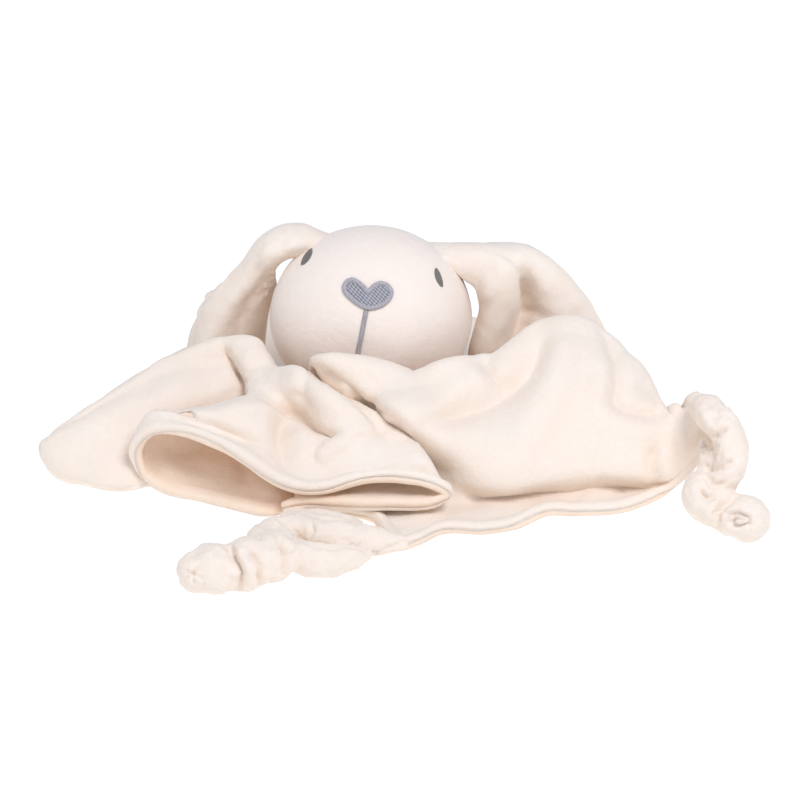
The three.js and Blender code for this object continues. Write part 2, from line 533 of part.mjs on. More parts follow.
// A heart, drawn from its notch round both lobes to the tip, grown outwards by a margin.
function heartShape(margin) {
  const half = noseWidth / 2 + margin;
  const top = noseHeight + margin;
  const tip = -margin * 1.2;
  const notch = noseHeight * 0.66 + margin;
  const bulge = half * 1.06;
  const shape = new THREE.Shape();
  shape.moveTo(0, notch);
  shape.bezierCurveTo(half * 0.22, top * 1.06, half * 0.95, top * 1.08, half, top * 0.68);
  shape.bezierCurveTo(bulge, top * 0.38, half * 0.42, top * 0.16, 0, tip);
  shape.bezierCurveTo(-half * 0.42, top * 0.16, -bulge, top * 0.38, -half, top * 0.68);
  shape.bezierCurveTo(-half * 0.95, top * 1.08, -half * 0.22, top * 1.06, 0, notch);
  return shape;
}

// Moves and turns an outline in the plane of the face.
function placed(shape, x, y, degrees) {
  const turn = THREE.MathUtils.degToRad(degrees);
  const points = shape.getPoints(curvePoints);
  if (points[0].distanceTo(points[points.length - 1]) < seat / 10) points.pop();
  const turned = points.map((p) => p.clone().rotateAround(new THREE.Vector2(), turn));
  return new THREE.Shape(turned.map((p) => new THREE.Vector2(p.x + x, p.y + y)));
}

function eyeShape() {
  const shape = new THREE.Shape();
  shape.absellipse(0, 0, eyeWidth / 2, eyeLength / 2, 0, 2 * Math.PI);
  return shape;
}

function mouthShape() {
  const shape = new THREE.Shape();
  shape.moveTo(-mouthWidth / 2, 0);
  shape.lineTo(mouthWidth / 2, 0);
  shape.lineTo(mouthWidth / 2, -mouthLength);
  shape.lineTo(-mouthWidth / 2, -mouthLength);
  return shape;
}

// Places on the face, in the plane that the viewer sees, as shares of half the head.
const noseShares = [-0.03, 0.06];
const noseRoll = -6;
const leftEyeShares = [-0.62, 0.65];
const leftEyeLean = -39;
const rightEyeShares = [0.655, 0.423];
const rightEyeLean = 22;
const mouthRoll = -10;

function onFace([x, y]) {
  return [x * headWidth / 2, y * headHeight / 2];
}

// The half of space in front of the seam between the head's two panels.
function frontHalf(shift) {
  const block = new THREE.BoxGeometry(2 * overrun, 2 * overrun, overrun);
  block.translate(0, 0, overrun / 2 - panelSeamBack + shift);
  return toSolid(faceWards(block));
}

function mesh(name, geometry, look) {
  const item = new THREE.Mesh(geometry, new THREE.MeshStandardMaterial(look));
  item.name = name;
  return item;
}

// The two layers of the blanket, and the room that they take with their clearance.
function blanketParts() {
  const grid = blanketGrid();
  const normals = gridNormals(grid, true);
    const factors = new Map([1, -1].map((side) => [side, swellFactors(grid, normals, side)]));
  const shifted = (side, extra) => grid.map((line, i) => line.map((point, j) => {
    const half = halfThickness(rowShares[i]) * factors.get(side)[i][j] + extra;
    return point.clone().addScaledVector(normals[i][j], side * half);
  }));
  const inner = (side) => grid.map((line, i) => line.map((point, j) => (
    point.clone().addScaledVector(normals[i][j], side * layerGap / 2))));
  const top = clothSolid(shifted(1, 0), inner(1), false);
  const under = clothSolid(inner(-1), shifted(-1, 0), true);
  const topRoom = clothSolid(shifted(1, layerGap * 0.9), inner(0.2), false);
  const last = grid.length - 1;
  const rim = (layer) => layer.map((line, i) => line.map((point, j) => {
    if (i < last) return point;
    const outwards = point.clone().sub(layer[i - 1][j]).setLength(seat);
    return point.clone().add(outwards);
  }));
  const room = clothSolid(rim(shifted(1, seat)), rim(shifted(-1, seat)), true);
  return { top, under, topRoom, room };
}

// The gathered neck between the blanket and the head, a rippled tube.
function neckGather() {
  const bottom = restHeight + layerGap / 2;
  const sides = 4 * neckFolds;
  const ring = (radius, ripple, z) => Array.from({ length: sides }, (_, k) => {
    const angle = (-2 * Math.PI * k) / sides;
    const r = radius + ripple * Math.cos(neckFolds * angle);
    return new THREE.Vector3(r * Math.cos(angle), neckCentreY + r * Math.sin(angle), z);
  });
  const outside = [ring(neckRadius - seat, neckRipple, bottom), ring(neckRadius - seat, neckRipple, neckTop)];
  const inside = [ring(neckRadius - neckWall, 0, bottom), ring(neckRadius - neckWall, 0, neckTop)];
    const tube = toSolid(closedTube(outside)).subtract(toSolid(closedTube(inside)));
  return tube;
}

// Both panels of an ear, cut where they meet the head.
function earPanels(shares) {
  const scale = earLength / 100;
  
  const grid = shares.map((row) => row.map(([x, y, z]) => new THREE.Vector3(x * scale, y * scale, z * scale)));
  const fine = refined(grid);
  const normals = gridNormals(fine, false);
  const edge = (i, j) => (i === fine.length - 1 || j === 0 || j === fine[0].length - 1 ? 0.6 : 1);
  const shifted = (distance) => fine.map((line, i) => line.map((point, j) => (
    point.clone().addScaledVector(normals[i][j], distance * edge(i, j)))));
  const near = layerGap / 2;
  const far = near + earLayer;
  const head = headSolid(seat);
  const panel = (a, b) => toSolid(bodyBetween(shifted(a), shifted(b))).subtract(head);
      const front = mainPiece(panel(far, near));

  const frontRoom = panel(far + near, near - layerGap * 0.9);
    return [front, panel(-near, -far).subtract(frontRoom).subtract(front)];
}

// One more row between each two of a grid, on smooth curves.
function refined(grid) {
  const curveThrough = (points) => new THREE.CatmullRomCurve3(points, false, 'centripetal');
  const columns = grid[0].map((_, j) => curveThrough(grid.map((line) => line[j])).getPoints(2 * (grid.length - 1)));
  return columns[0].map((_, i) => columns.map((column) => column[i]));
}

// A soft strand: a tube whose radius swells from point to point, with round ends.
function strand(rows) {
  const scale = tailLength / 100;
  const points = rows.map(([x, y, z]) => new THREE.Vector3(x * scale, y * scale, z * scale));
  const curve = new THREE.CatmullRomCurve3(points, false, 'centripetal');
  const steps = tailStepsPerPoint * (rows.length - 1);
  const radiusAt = (share) => {
    const at = share * (rows.length - 1);
    const index = Math.min(Math.floor(at), rows.length - 2);
    return scale * THREE.MathUtils.lerp(rows[index][3], rows[index + 1][3], at - index);
  };
  const stations = [];
    const capSpread = Math.sqrt(1 - capShare * capShare);
  stations.push([0, -capShare, capSpread]);
  for (let k = 0; k <= steps; k += 1) stations.push([k / steps, 0, 1]);
    stations.push([1, capShare, capSpread]);
  const up = new THREE.Vector3(0, 0, 1);
  const rings = stations.map(([share, cap, spread]) => {
    const tangent = curve.getTangent(share);
    const side = new THREE.Vector3().crossVectors(up, tangent).normalize();
    const lift = new THREE.Vector3().crossVectors(tangent, side);
    const radius = radiusAt(share);
    const centre = curve.getPoint(share).addScaledVector(tangent, cap * radius);
    return Array.from({ length: tailSides }, (_, k) => {
      const angle = (2 * Math.PI * k) / tailSides;
      return centre.clone().addScaledVector(side, radius * spread * Math.cos(angle))
        .addScaledVector(lift, radius * spread * Math.sin(angle));
    });
  });
  return toSolid(closedTube(rings));
}

// A closed body from rings of points, each end drawn together in its middle.
function closedTube(rings) {
  const sides = rings[0].length;
  const points = rings.flat();
  const faces = [];
  for (let i = 0; i < rings.length - 1; i += 1) {
    for (let j = 0; j < sides; j += 1) {
      const a = i * sides + j;
      const b = i * sides + ((j + 1) % sides);
      faces.push(a, b, b + sides, a, b + sides, a + sides);
    }
  }
  const middle = (ring) => ring.reduce((sum, p) => sum.add(p), new THREE.Vector3()).divideScalar(sides);
  const first = points.push(middle(rings[0])) - 1;
  const last = points.push(middle(rings[rings.length - 1])) - 1;
  const lastRing = (rings.length - 1) * sides;
  for (let j = 0; j < sides; j += 1) {
    faces.push(first, (j + 1) % sides, j, last, lastRing + j, lastRing + ((j + 1) % sides));
  }
    return indexed(points, faces);
}

// A knotted corner: its strands joined, laid on the floor and cleared of the blanket.
function tailSolid(strands, cutters) {
  const joined = strands.map(strand).reduce((sum, next) => sum.add(next));
  return cutters.reduce((rest, cutter) => rest.subtract(cutter), joined);
}

// The largest piece of a solid, without crumbs that a cut left, or hollows closed in by folds.
function largestPiece(solid) {
  return solid.decompose().reduce((best, next) => (next.volume() > best.volume() ? next : best));
}

// The largest piece of a solid, after corners closer than the weld are made one.
function mainPiece(solid) {
  let piece = largestPiece(solid).simplify(sliver);
  for (let round = 0; round < weldRounds; round += 1) {
    piece = largestPiece(toSolid(toGeometry(piece)));
  }
  return piece;
}

// Folds that touch in a point or along a line are parted there: each of the corners that lie on
// one place moves a little towards its own neighbours.
function partedGeometry(solid) {
  const { vertProperties, triVerts } = solid.getMesh();
  const cornerOf = (index) => new THREE.Vector3().fromArray(vertProperties, 3 * index);
  const placeOf = (index) => cornerOf(index).toArray().join();
  const corners = Array.from({ length: vertProperties.length / 3 }, (_, index) => cornerOf(index));
  const onPlace = new Map();
  corners.forEach((_, index) => onPlace.set(placeOf(index), (onPlace.get(placeOf(index)) ?? 0) + 1));
  const neighbours = corners.map(() => []);
  for (let first = 0; first < triVerts.length; first += 3) {
    for (const [from, to] of [[0, 1], [1, 2], [2, 0]]) {
      neighbours[triVerts[first + from]].push(cornerOf(triVerts[first + to]));
    }
  }
  const moved = corners.map((corner, index) => {
    if (onPlace.get(placeOf(index)) === 1) return corner;
    const sum = neighbours[index].reduce((total, next) => total.add(next), new THREE.Vector3());
    const way = sum.divideScalar(neighbours[index].length).sub(corner);
    return corner.clone().addScaledVector(way.normalize(), partingStep);
  });
  return indexed(moved, Array.from(triVerts));
}

function buildBlanket(group, floor, parts) {
  const top = mainPiece(parts.top.subtract(floor));
  const under = mainPiece(parts.under.subtract(floor).subtract(mainPiece(parts.topRoom)).subtract(top));
  group.add(mesh('blanket_top_cloth', partedGeometry(top), cream));
  group.add(mesh('blanket_under_cloth', partedGeometry(under), cream));
    group.add(mesh('neck_gather', toGeometry(mainPiece(neckGather().subtract(headSolid(seat)))), cream));
  return [top, under];
}

function buildHead(group) {
  const shell = headSolid(0).subtract(headSolid(-skin));
  group.add(mesh('head_face_panel', toGeometry(shell.intersect(frontHalf(0))), cream));
  group.add(mesh('head_back_panel', toGeometry(shell.subtract(frontHalf(-seat))), cream));
  group.add(mesh('head_filling', toGeometry(headSolid(-skin - seat)), wadding));
  const [noseX, noseY] = onFace(noseShares);
  const fill = placed(heartShape(-noseBorder - seat), noseX, noseY, noseRoll);
  const border = placed(heartShape(0), noseX, noseY, noseRoll);
  const borderHole = placed(heartShape(-noseBorder), noseX, noseY, noseRoll);
  group.add(mesh('nose_fill', threadPad(fill), thread));
  group.add(mesh('nose_border', threadPad(border, borderHole), thread));
  group.add(mesh('mouth_line', threadPad(placed(mouthShape(), noseX, noseY - seat * 4, mouthRoll)), thread));
  group.add(mesh('left_eye', threadPad(placed(eyeShape(), ...onFace(leftEyeShares), leftEyeLean)), darkThread));
  group.add(mesh('right_eye', threadPad(placed(eyeShape(), ...onFace(rightEyeShares), rightEyeLean)), darkThread));
}

function buildEars(group) {
  for (const [side, shares] of [['left', leftEarShares], ['right', rightEarShares]]) {
    const [front, back] = earPanels(shares);
    group.add(mesh(`${side}_ear_front_panel`, toGeometry(front), cream));
    group.add(mesh(`${side}_ear_back_panel`, toGeometry(mainPiece(back)), cream));
  }
}

function buildTails(group, cutters) {
  const corners = [
    ['front_left_tail', frontLeftTailShares], ['right_tail', rightTailShares],
    ['back_left_tail', backLeftTailShares], ['back_right_tail', backRightTailShares],
  ];
  for (const [name, shares] of corners) {
    group.add(mesh(name, toGeometry(mainPiece(tailSolid(shares, cutters))), cream));
  }
}

const comforter = new THREE.Group();
const floorBlock = belowFloor();
const blanket = blanketParts();
const cloths = buildBlanket(comforter, floorBlock, blanket);

buildHead(comforter);
buildEars(comforter);
buildTails(comforter, [floorBlock, blanket.room, ...cloths]);

export default comforter;
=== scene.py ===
"""Bunny comforter: a stuffed head with drooping ears on a folded blanket with knotted corners."""
import logging
import math
from dataclasses import dataclass
from enum import Enum
from typing import Union

import bmesh
import bpy
import numpy as np
from bmesh.types import BMesh
from bpy.types import ID, Material, Node, NodeSocket, NodeTree, Object
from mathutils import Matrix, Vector, noise
from mathutils.bvhtree import BVHTree
from mathutils.kdtree import KDTree


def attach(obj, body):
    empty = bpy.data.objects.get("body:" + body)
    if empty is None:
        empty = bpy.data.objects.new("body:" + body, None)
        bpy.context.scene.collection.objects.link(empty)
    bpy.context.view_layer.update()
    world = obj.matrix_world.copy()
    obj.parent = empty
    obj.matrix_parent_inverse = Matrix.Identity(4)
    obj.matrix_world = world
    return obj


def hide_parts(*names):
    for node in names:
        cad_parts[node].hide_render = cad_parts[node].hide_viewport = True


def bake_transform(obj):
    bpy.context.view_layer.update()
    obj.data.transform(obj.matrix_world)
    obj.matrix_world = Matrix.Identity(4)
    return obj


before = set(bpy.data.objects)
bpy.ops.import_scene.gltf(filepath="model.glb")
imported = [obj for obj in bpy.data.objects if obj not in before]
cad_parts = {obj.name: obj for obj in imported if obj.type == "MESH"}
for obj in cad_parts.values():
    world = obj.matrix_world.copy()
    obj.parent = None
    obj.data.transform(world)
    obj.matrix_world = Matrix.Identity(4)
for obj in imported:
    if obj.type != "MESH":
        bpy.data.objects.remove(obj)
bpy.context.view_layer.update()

LOG = logging.getLogger("comforter")
MM = 0.001
HEM_MAP = "hem"
JOIN_DISTANCE = 1e-6
LEAST_LENGTH = 1e-9
# How fast the soft noise of a ripple falls off, its step and its octaves.
RIPPLE_NOISE = (0.7, 2.0, 3)

# Rings of the blanket from the neck to the hem, as in the part: place round the blanket, x, y and
# lift above the lying cloth, in millimetres.
BASE_RING = [
    [0, 110, -20, 0], [3, 102, -24, 0], [7, 88, -23, 0], [11, 66, -24, 0], [14, 41, -30, 1],
    [18, 16, -37, 2], [26, 0, -40, 2], [34, -14, -39, 2], [42, -30, -33, 2], [49, -44, -20, 0],
    [52, -60, -10, 0], [56, -88, -14, 0], [59, -76, 12, 0], [63, -46, 50, 0], [68, -26, 66, 0],
    [73, 0, 70, 0], [82, 42, 56, 0], [88, 68, 40, 0], [94, 98, 12, 0], [97.5, 109, -4, 0],
]
BACK_RING = [
    [0, 122, -52, 20], [3, 114, -40, 24], [7, 102, -24, 32], [11, 68, -28, 34], [14, 38, -43, 30],
    [18, 15, -48, 28], [21, -10, -47, 28], [26, -20, -46, 28], [30, -24, -47, 28],
    [36, -30, -46, 27], [42, -36, -38, 26], [47, -45, -27, 28], [50, -56, -17, 31],
    [52, -80, -20, 28], [54, -102, -36, 20], [56, -118, -46, 14], [59, -104, -16, 8],
    [63, -62, 62, 0], [66, -46, 76, 5], [70, -18, 88, 0], [75, 12, 90, 6], [79, 36, 82, 0],
    [82, 54, 74, 3], [88, 84, 48, 0], [94, 110, -4, 5], [97.5, 121, -30, 12],
]
CREST_RING = [
    [0, 132, -62, 27], [3, 129, -52, 29], [5, 125, -42, 33], [6.5, 114, -32, 47], [8, 103, -27, 57],
    [9.5, 92, -26, 61], [11, 78, -30, 60], [12.3, 67, -36, 55], [13.4, 56, -44, 50],
    [14.2, 43, -49, 50], [15, 33, -53, 51], [16, 25, -55, 48], [17, 19, -55, 46], [18, 10, -57, 50],
    [19, -4, -58, 54], [20, -18, -58, 55], [21, -24, -53, 52], [22.5, -25, -49, 48],
    [24.5, -26, -47, 46], [26.5, -27, -50, 45], [27.8, -29, -56, 47], [30, -31, -58, 49],
    [33, -35, -56, 49], [36, -39, -51, 46], [39, -42, -47, 44], [42, -46, -42, 44],
    [46, -50, -34, 48], [49, -56, -29, 52], [50.5, -66, -28, 52], [52, -77, -29, 49],
    [53, -84, -33, 47], [54.3, -101, -43, 42], [55.5, -118, -54, 34], [56.5, -137, -64, 23],
    [58.5, -126, -34, 16], [60.5, -104, 14, 6], [63, -72, 72, 0], [66, -55, 92, 7],
    [70, -22, 106, 0], [75, 14, 106, 9], [79, 42, 94, 0], [82, 62, 88, 4], [88, 94, 48, 1],
    [94, 117, -10, 8], [97.5, 129, -38, 17],
]
BROW_RING = [
    [0, 137, -65, 34], [2, 135, -66, 31], [4, 130, -56, 34], [6.5, 121, -46, 47], [9, 100, -40, 57],
    [11, 80, -46, 55], [12.4, 64, -52, 50], [13.4, 50, -58, 46], [14.4, 36, -62, 46],
    [15.3, 25, -66, 46], [16.2, 16, -69, 45], [17.1, 7, -69, 45], [18, -1, -68, 46],
    [19, -10, -66, 49], [20, -18, -62, 53], [20.8, -22, -58, 51], [22.5, -20, -53, 45],
    [24.5, -17, -51, 41], [26, -15, -53, 39], [27.2, -16, -61, 40], [28.5, -20, -69, 45],
    [30, -24, -71, 48], [32, -30, -69, 47], [34, -36, -64, 45], [36, -40, -60, 43],
    [38, -46, -57, 41], [40, -52, -52, 39], [43, -54, -47, 38], [46, -55, -42, 41],
    [48.5, -61, -37, 44], [50.5, -67, -34, 44], [52, -77, -38, 44], [53, -87, -42, 42],
    [54.3, -105, -52, 38], [55.5, -122, -60, 31], [56.6, -142, -68, 20], [58.5, -134, -36, 11],
    [60.5, -112, 18, 4], [63, -76, 78, 0], [66, -60, 102, 8], [70, -24, 116, 0], [75, 16, 114, 10],
    [79, 46, 100, 1], [82, 65, 94, 4], [88, 100, 49, 0], [94, 121, -13, 9], [97.5, 134, -41, 19],
]
FACE_RING = [
    [0, 141, -67, 34], [2, 137, -70, 30], [4, 130, -70, 28], [6.5, 120, -70, 34], [9, 100, -68, 40],
    [11, 80, -72, 38], [12.4, 62, -76, 35], [13.4, 40, -80, 34], [14.4, 26, -85, 36],
    [15.3, 15, -86, 39], [16, 8, -79, 39], [16.6, 5, -72, 37], [17.4, 2, -64, 32],
    [20, -10, -62, 28], [21.5, -9, -64, 21], [24, 1, -66, 18], [26.2, 10, -75, 23],
    [27, 13, -82, 29], [28, 5, -84, 30], [29.2, -3, -85, 36], [30.5, -10, -86, 37],
    [31.6, -17, -84, 36], [32.8, -24, -79, 34], [34.2, -31, -74, 33], [36, -38, -74, 37],
    [38, -48, -76, 42], [39.5, -56, -71, 41], [41, -54, -60, 32], [44, -50, -53, 22],
    [46.4, -45, -50, 22], [48.2, -49, -43, 27], [50, -60, -43, 34], [52, -77, -55, 36],
    [54, -108, -64, 31], [55.5, -128, -69, 25], [56.6, -145, -70, 18], [58.5, -140, -36, 8],
    [60.5, -118, 24, 2], [63, -80, 84, 0], [66, -64, 112, 8], [70, -26, 124, 0], [75, 18, 120, 9],
    [79, 50, 104, 2], [82, 68, 100, 2], [88, 106, 50, 0], [94, 127, -16, 8], [97.5, 138, -43, 19],
]
BELLY_RING = [
    [0, 144, -70, 38], [1.5, 144, -78, 26], [3, 138, -80, 17], [4.2, 129, -82, 12],
    [6.5, 112, -86, 12], [8.8, 98, -85, 13], [11, 79, -91, 12], [12.2, 63, -96, 12],
    [13.4, 48, -95, 13], [14.4, 34, -86, 12], [15.3, 24, -74, 8], [16.2, 16, -70, 5],
    [17.2, 8, -69, 3], [19, -12, -78, 3], [20.5, -30, -90, 8], [23, -1, -93, 13], [25, 17, -92, 15],
    [26.4, 24, -93, 18], [27, 25, -98, 23], [28, 14, -100, 23], [29.5, 1, -101, 23],
    [31, -14, -101, 22], [32.5, -25, -98, 22], [34, -36, -97, 27], [35.5, -47, -94, 33],
    [37, -58, -92, 39], [38.3, -74, -88, 42], [39.3, -90, -82, 36], [40.2, -94, -74, 32],
    [41.5, -84, -70, 18], [44, -62, -76, 13], [46.4, -41, -80, 10], [47.7, -34, -74, 6],
    [49, -46, -62, 3], [51, -80, -63, 5], [53, -106, -79, 8], [54.8, -128, -79, 8],
    [56.5, -146, -70, 11], [58.5, -139, -36, 4], [60.5, -120, 30, 1], [63, -84, 90, 0],
    [66, -68, 122, 7], [70, -28, 132, 0], [75, 20, 126, 6], [79, 54, 108, 2], [82, 72, 104, 1],
    [88, 112, 52, 0], [94, 133, -18, 6], [97.5, 141, -46, 18],
]
UNDER_RING = [
    [0, 146, -71, 40], [1.2, 148, -77, 29], [2.4, 146, -78, 18], [3.6, 137, -80, 8],
    [5, 127, -80, 1], [6.5, 115, -79, 1], [8.8, 97, -82, 1], [11, 78, -86, 1], [12.4, 60, -90, 1],
    [13.6, 44, -94, 1], [14.6, 32, -100, 1], [15.4, 23, -111, 1], [16.4, 16, -115, 1],
    [17.2, 7, -104, 1], [19, -20, -98, 2], [20.5, -31, -104, 6], [22, -20, -102, 10],
    [23.5, 0, -102, 10], [25.3, 20, -100, 10], [26.4, 31, -104, 10], [27, 32, -104, 15],
    [27.8, 24, -104, 19], [28.6, 15, -105, 20], [30, 1, -106, 20], [31.5, -14, -107, 18],
    [32.8, -26, -107, 18], [34, -37, -104, 22], [35, -46, -101, 28], [36.3, -57, -97, 32],
    [37.7, -74, -91, 37], [39.2, -97, -82, 38], [40.2, -102, -79, 25], [41.2, -96, -77, 14],
    [42.4, -84, -84, 8], [43.8, -68, -90, 7], [45.4, -50, -96, 7], [46.8, -38, -96, 6],
    [47.8, -31, -84, 3], [49, -44, -72, 1], [51, -80, -70, 2], [53, -106, -79, 3],
    [54.8, -126, -77, 3], [56.5, -143, -67, 3], [58.5, -142, -35, 1], [60.5, -123, 32, 0],
    [63, -86, 93, 0], [66, -69, 126, 5], [70, -29, 136, 0], [75, 21, 129, 4], [79, 56, 112, 2],
    [82, 74, 106, 0], [88, 115, 53, 0], [94, 138, -20, 3], [97.5, 145, -48, 16],
]
HEM_RING = [
    [0, 149, -72, 40], [0.9, 151, -75, 30], [1.8, 150, -77, 20], [2.9, 146, -78, 9],
    [3.8, 139, -82, 3], [5, 130, -88, 1], [6.3, 118, -97, 0], [7.5, 106, -102, 0],
    [8.8, 92, -103, 0], [10, 78, -105, 1], [10.8, 70, -111, 1], [11.6, 62, -117, 0],
    [12.5, 51, -121, 0], [14, 31, -121, 0], [15, 20, -133, 1], [15.8, 12, -138, 1],
    [16.6, 7, -128, 1], [17.4, 2, -112, 1], [18.6, -18, -104, 1], [19.6, -33, -105, 3],
    [20.5, -38, -113, 6], [21.5, -29, -113, 8], [23, -8, -113, 7], [24.3, 6, -113, 7],
    [26.3, 30, -110, 7], [27, 36, -108, 10], [27.8, 31, -110, 16], [28.6, 22, -110, 19],
    [30.4, -1, -110, 20], [32, -21, -115, 16], [33.3, -36, -115, 18], [34.2, -46, -112, 22],
    [35, -55, -109, 28], [36.5, -71, -100, 34], [38, -87, -93, 34], [39.2, -99, -88, 28],
    [40, -104, -85, 18], [40.8, -102, -84, 8], [41.8, -93, -88, 2], [43.3, -75, -95, 1],
    [45, -56, -105, 1], [46, -47, -109, 1], [47, -37, -106, 1], [47.9, -27, -94, 1],
    [49.2, -42, -81, 0], [51, -80, -77, 0], [53, -106, -78, 0], [54.5, -121, -74, 0],
    [56, -136, -63, 0], [57.3, -144, -46, 0], [60, -130, 24, 0], [63, -88, 96, 1],
    [66, -71, 130, 4], [70, -30, 140, 0], [75, 22, 132, 3], [79, 58, 116, 2], [82, 76, 110, 0],
    [85, 98, 86, 0], [88, 118, 54, 0], [94, 143, -22, 0], [97.5, 149, -51, 14],
]
# How far from the neck to the hem each ring lies.
RING_PLACES = [
    (0.2, BASE_RING), (0.32, BACK_RING), (0.43, CREST_RING), (0.52, BROW_RING),
    (0.66, FACE_RING), (0.81, BELLY_RING), (0.91, UNDER_RING), (1.0, HEM_RING),
]
# Place round the blanket, and its angle about the neck in degrees.
NECK_ANGLES = [
    [0, -8], [8, -22], [11, -32], [14, -58], [17.5, -80], [30, -102], [40, -128], [46, -148],
    [50, -165], [54, -188], [59, -207], [63, -222], [73, -265], [82, -305], [91, -340],
]
# Points of the left ear in millimetres, from its root to its tip.
LEFT_EAR_ROWS = [
    [[-20, 24, 84], [-20, 16, 88], [-21, 8, 90], [-24, 2, 88], [-28, 6, 82]],
    [[-32, 22, 89], [-33, 14, 94], [-34, 5, 95], [-37, -3, 91], [-38, 4, 83]],
    [[-46, 20, 88], [-48, 12, 92], [-48, 3, 91], [-48, -3, 85], [-45, 8, 77]],
    [[-61, 16, 75], [-61, 10, 75], [-59, 3, 71], [-54, 6, 66], [-46, 18, 62]],
    [[-74, 14, 59], [-74, 9, 59], [-70, 1, 55], [-61, 6, 52], [-50, 20, 50]],
    [[-86, 14, 42], [-85, 9, 41], [-79, 0, 37], [-66, 8, 36], [-52, 22, 36]],
    [[-88, 16, 22], [-86, 11, 20], [-79, 5, 18], [-67, 12, 17], [-54, 24, 19]],
    [[-82, 18, 12], [-79, 15, 11], [-73, 13, 10], [-66, 17, 10], [-60, 22, 12]],
]
# The right ear, from its root to its tip: across and down the picture, and inward in millimetres.
RIGHT_EAR_PLACES = [
    [[442, 262, -2], [436, 255, 0], [430, 250, 3], [426, 247, 6], [424, 246, 9], [422, 245, 12],
     [422, 246, 20], [426, 256, 26]],
    [[464, 280, -3], [462, 268, -3], [456, 257, 0], [450, 251, 3], [447, 248, 6], [445, 246, 10],
     [445, 247, 19], [452, 262, 25]],
    [[474, 288, -3], [486, 272, -6], [488, 262, -4], [486, 254, 0], [484, 249, 4], [482, 247, 10],
     [482, 248, 20], [480, 280, 26]],
    [[479, 299, -3], [489, 288, -9], [506, 270, -8], [512, 267, -4], [518, 256, 0], [522, 248, 8],
     [518, 252, 20], [500, 300, 27]],
    [[480, 310, -3], [494, 302, -10], [512, 286, -8], [518, 289, 5], [536, 272, 0], [549, 262, 8],
     [540, 270, 22], [512, 320, 28]],
    [[477, 322, -3], [492, 318, -10], [512, 304, -8], [519, 308, 6], [546, 290, -2], [568, 280, 8],
     [556, 295, 22], [524, 335, 28]],
    [[473, 336, -3], [486, 335, -10], [505, 322, -9], [515, 326, 4], [556, 308, -3], [584, 300, 8],
     [570, 315, 22], [536, 345, 28]],
    [[470, 350, -2], [479, 350, -8], [493, 343, -9], [508, 345, 2], [560, 330, -3], [597, 321, 8],
     [584, 335, 20], [550, 355, 26]],
    [[469, 366, -1], [478, 366, -5], [488, 362, -7], [506, 362, 1], [560, 350, -2], [602, 339, 8],
     [590, 350, 18], [556, 364, 22]],
]
# Strands of the knotted corners: points and radius in millimetres.
FRONT_LEFT_STRANDS = [
    [[14, -137.5, 6, 3.5], [5, -137, 6, 6], [-6, -139, 8, 7.5], [-18, -139, 9, 7.5],
     [-28, -131, 9, 6], [-34, -119, 7, 4.5], [-34, -110, 4.5, 3.5]],
    [[-1, -148, 5, 3], [-8, -152, 6.5, 6], [-19, -156, 7, 7.5], [-30, -152, 8, 7],
     [-36, -144, 10, 6]],
    [[-28, -133, 9, 6], [-38, -134, 9, 7], [-44, -146, 10, 7.5], [-42, -156, 10, 9]],
    [[-37, -152, 10, 9], [-40, -160, 10.5, 10.5], [-45, -163, 10.5, 9]],
    [[-45, -160, 10.5, 9.5], [-50, -166, 10.8, 11.4], [-56, -168, 10.5, 9.5]],
    [[-57, -167, 10.5, 9], [-64, -170, 10.6, 10.8], [-69, -172, 10.4, 8.5]],
    [[-34, -115, 6, 4.5], [-25, -119.5, 6.2, 5.8], [-15, -122, 6.2, 5.8], [-6, -126, 6, 5]],
    [[-30, -122, 7, 5.5], [-19, -128, 7, 6.5], [-7, -131, 6.6, 5.8]],
]
RIGHT_STRANDS = [
    [[147, -77, 41, 4.5], [148, -83, 44, 6.5], [150, -91, 44.5, 7.5], [156, -102, 39, 7.5],
     [157, -110, 30, 7], [152, -110, 20, 8]],
    [[150, -88, 27, 5], [152, -97, 26, 7.5], [151, -106, 20, 8]],
    [[152, -103, 19, 8], [146, -111, 15, 10], [150, -117, 12, 9]],
    [[150, -115, 12, 9], [157, -120, 10.5, 9.5], [163, -124, 10.2, 10.2]],
]
BACK_LEFT_STRANDS = [
    [[-87.5, 102, 6, 4.5], [-88, 111, 8, 6.5], [-86, 124, 8.5, 7.5], [-79, 136, 8.5, 7]],
    [[-85, 133, 9, 8], [-77, 138, 10, 10], [-70, 143, 9, 8]],
    [[-76, 143, 9, 8.5], [-69, 150, 10, 10.4], [-63, 156, 9.5, 8.5]],
]
BACK_RIGHT_STRANDS = [
    [[75, 115, 5, 5], [75, 127, 7, 7], [75, 137, 8, 7.5], [74, 145, 8, 7]],
    [[67, 142, 9, 8], [75, 147, 10, 10], [82, 150, 9, 8]],
    [[75, 153, 9, 8.5], [74, 163, 10, 10.4], [72, 171, 9.5, 8.5]],
]


class Side(Enum):
    """The two sides of the toy, as the photograph shows them."""

    LEFT = "left"
    RIGHT = "right"


@dataclass(frozen=True)
class VelourFinish:
    """Short brushed pile: its colours, sheen, tufts and, where it is hemmed, stitches."""

    name: str = "velour"
    slot: str = "velour"
    light: tuple = (0.912, 0.795, 0.685)
    shade: tuple = (0.895, 0.745, 0.61)
    roughness: float = 0.92
    specular: float = 0.12
    sheen: float = 0.35
    sheen_roughness: float = 0.45
    tuft_scale: float = 620.0
    relief: float = 0.8
    height: float = 0.00035
    stitched: bool = False
    stitch_relief: float = 0.25
    stitch_height: float = 0.0006
    pucker: float = 0.3


@dataclass(frozen=True)
class ThreadFinish:
    """Satin embroidery thread, laid in parallel runs."""

    name: str
    slot: str
    light: tuple
    shade: tuple
    run_scale: float
    run_angle: float
    roughness: float = 0.55
    specular: float = 0.35
    relief: float = 0.9
    height: float = 0.00022


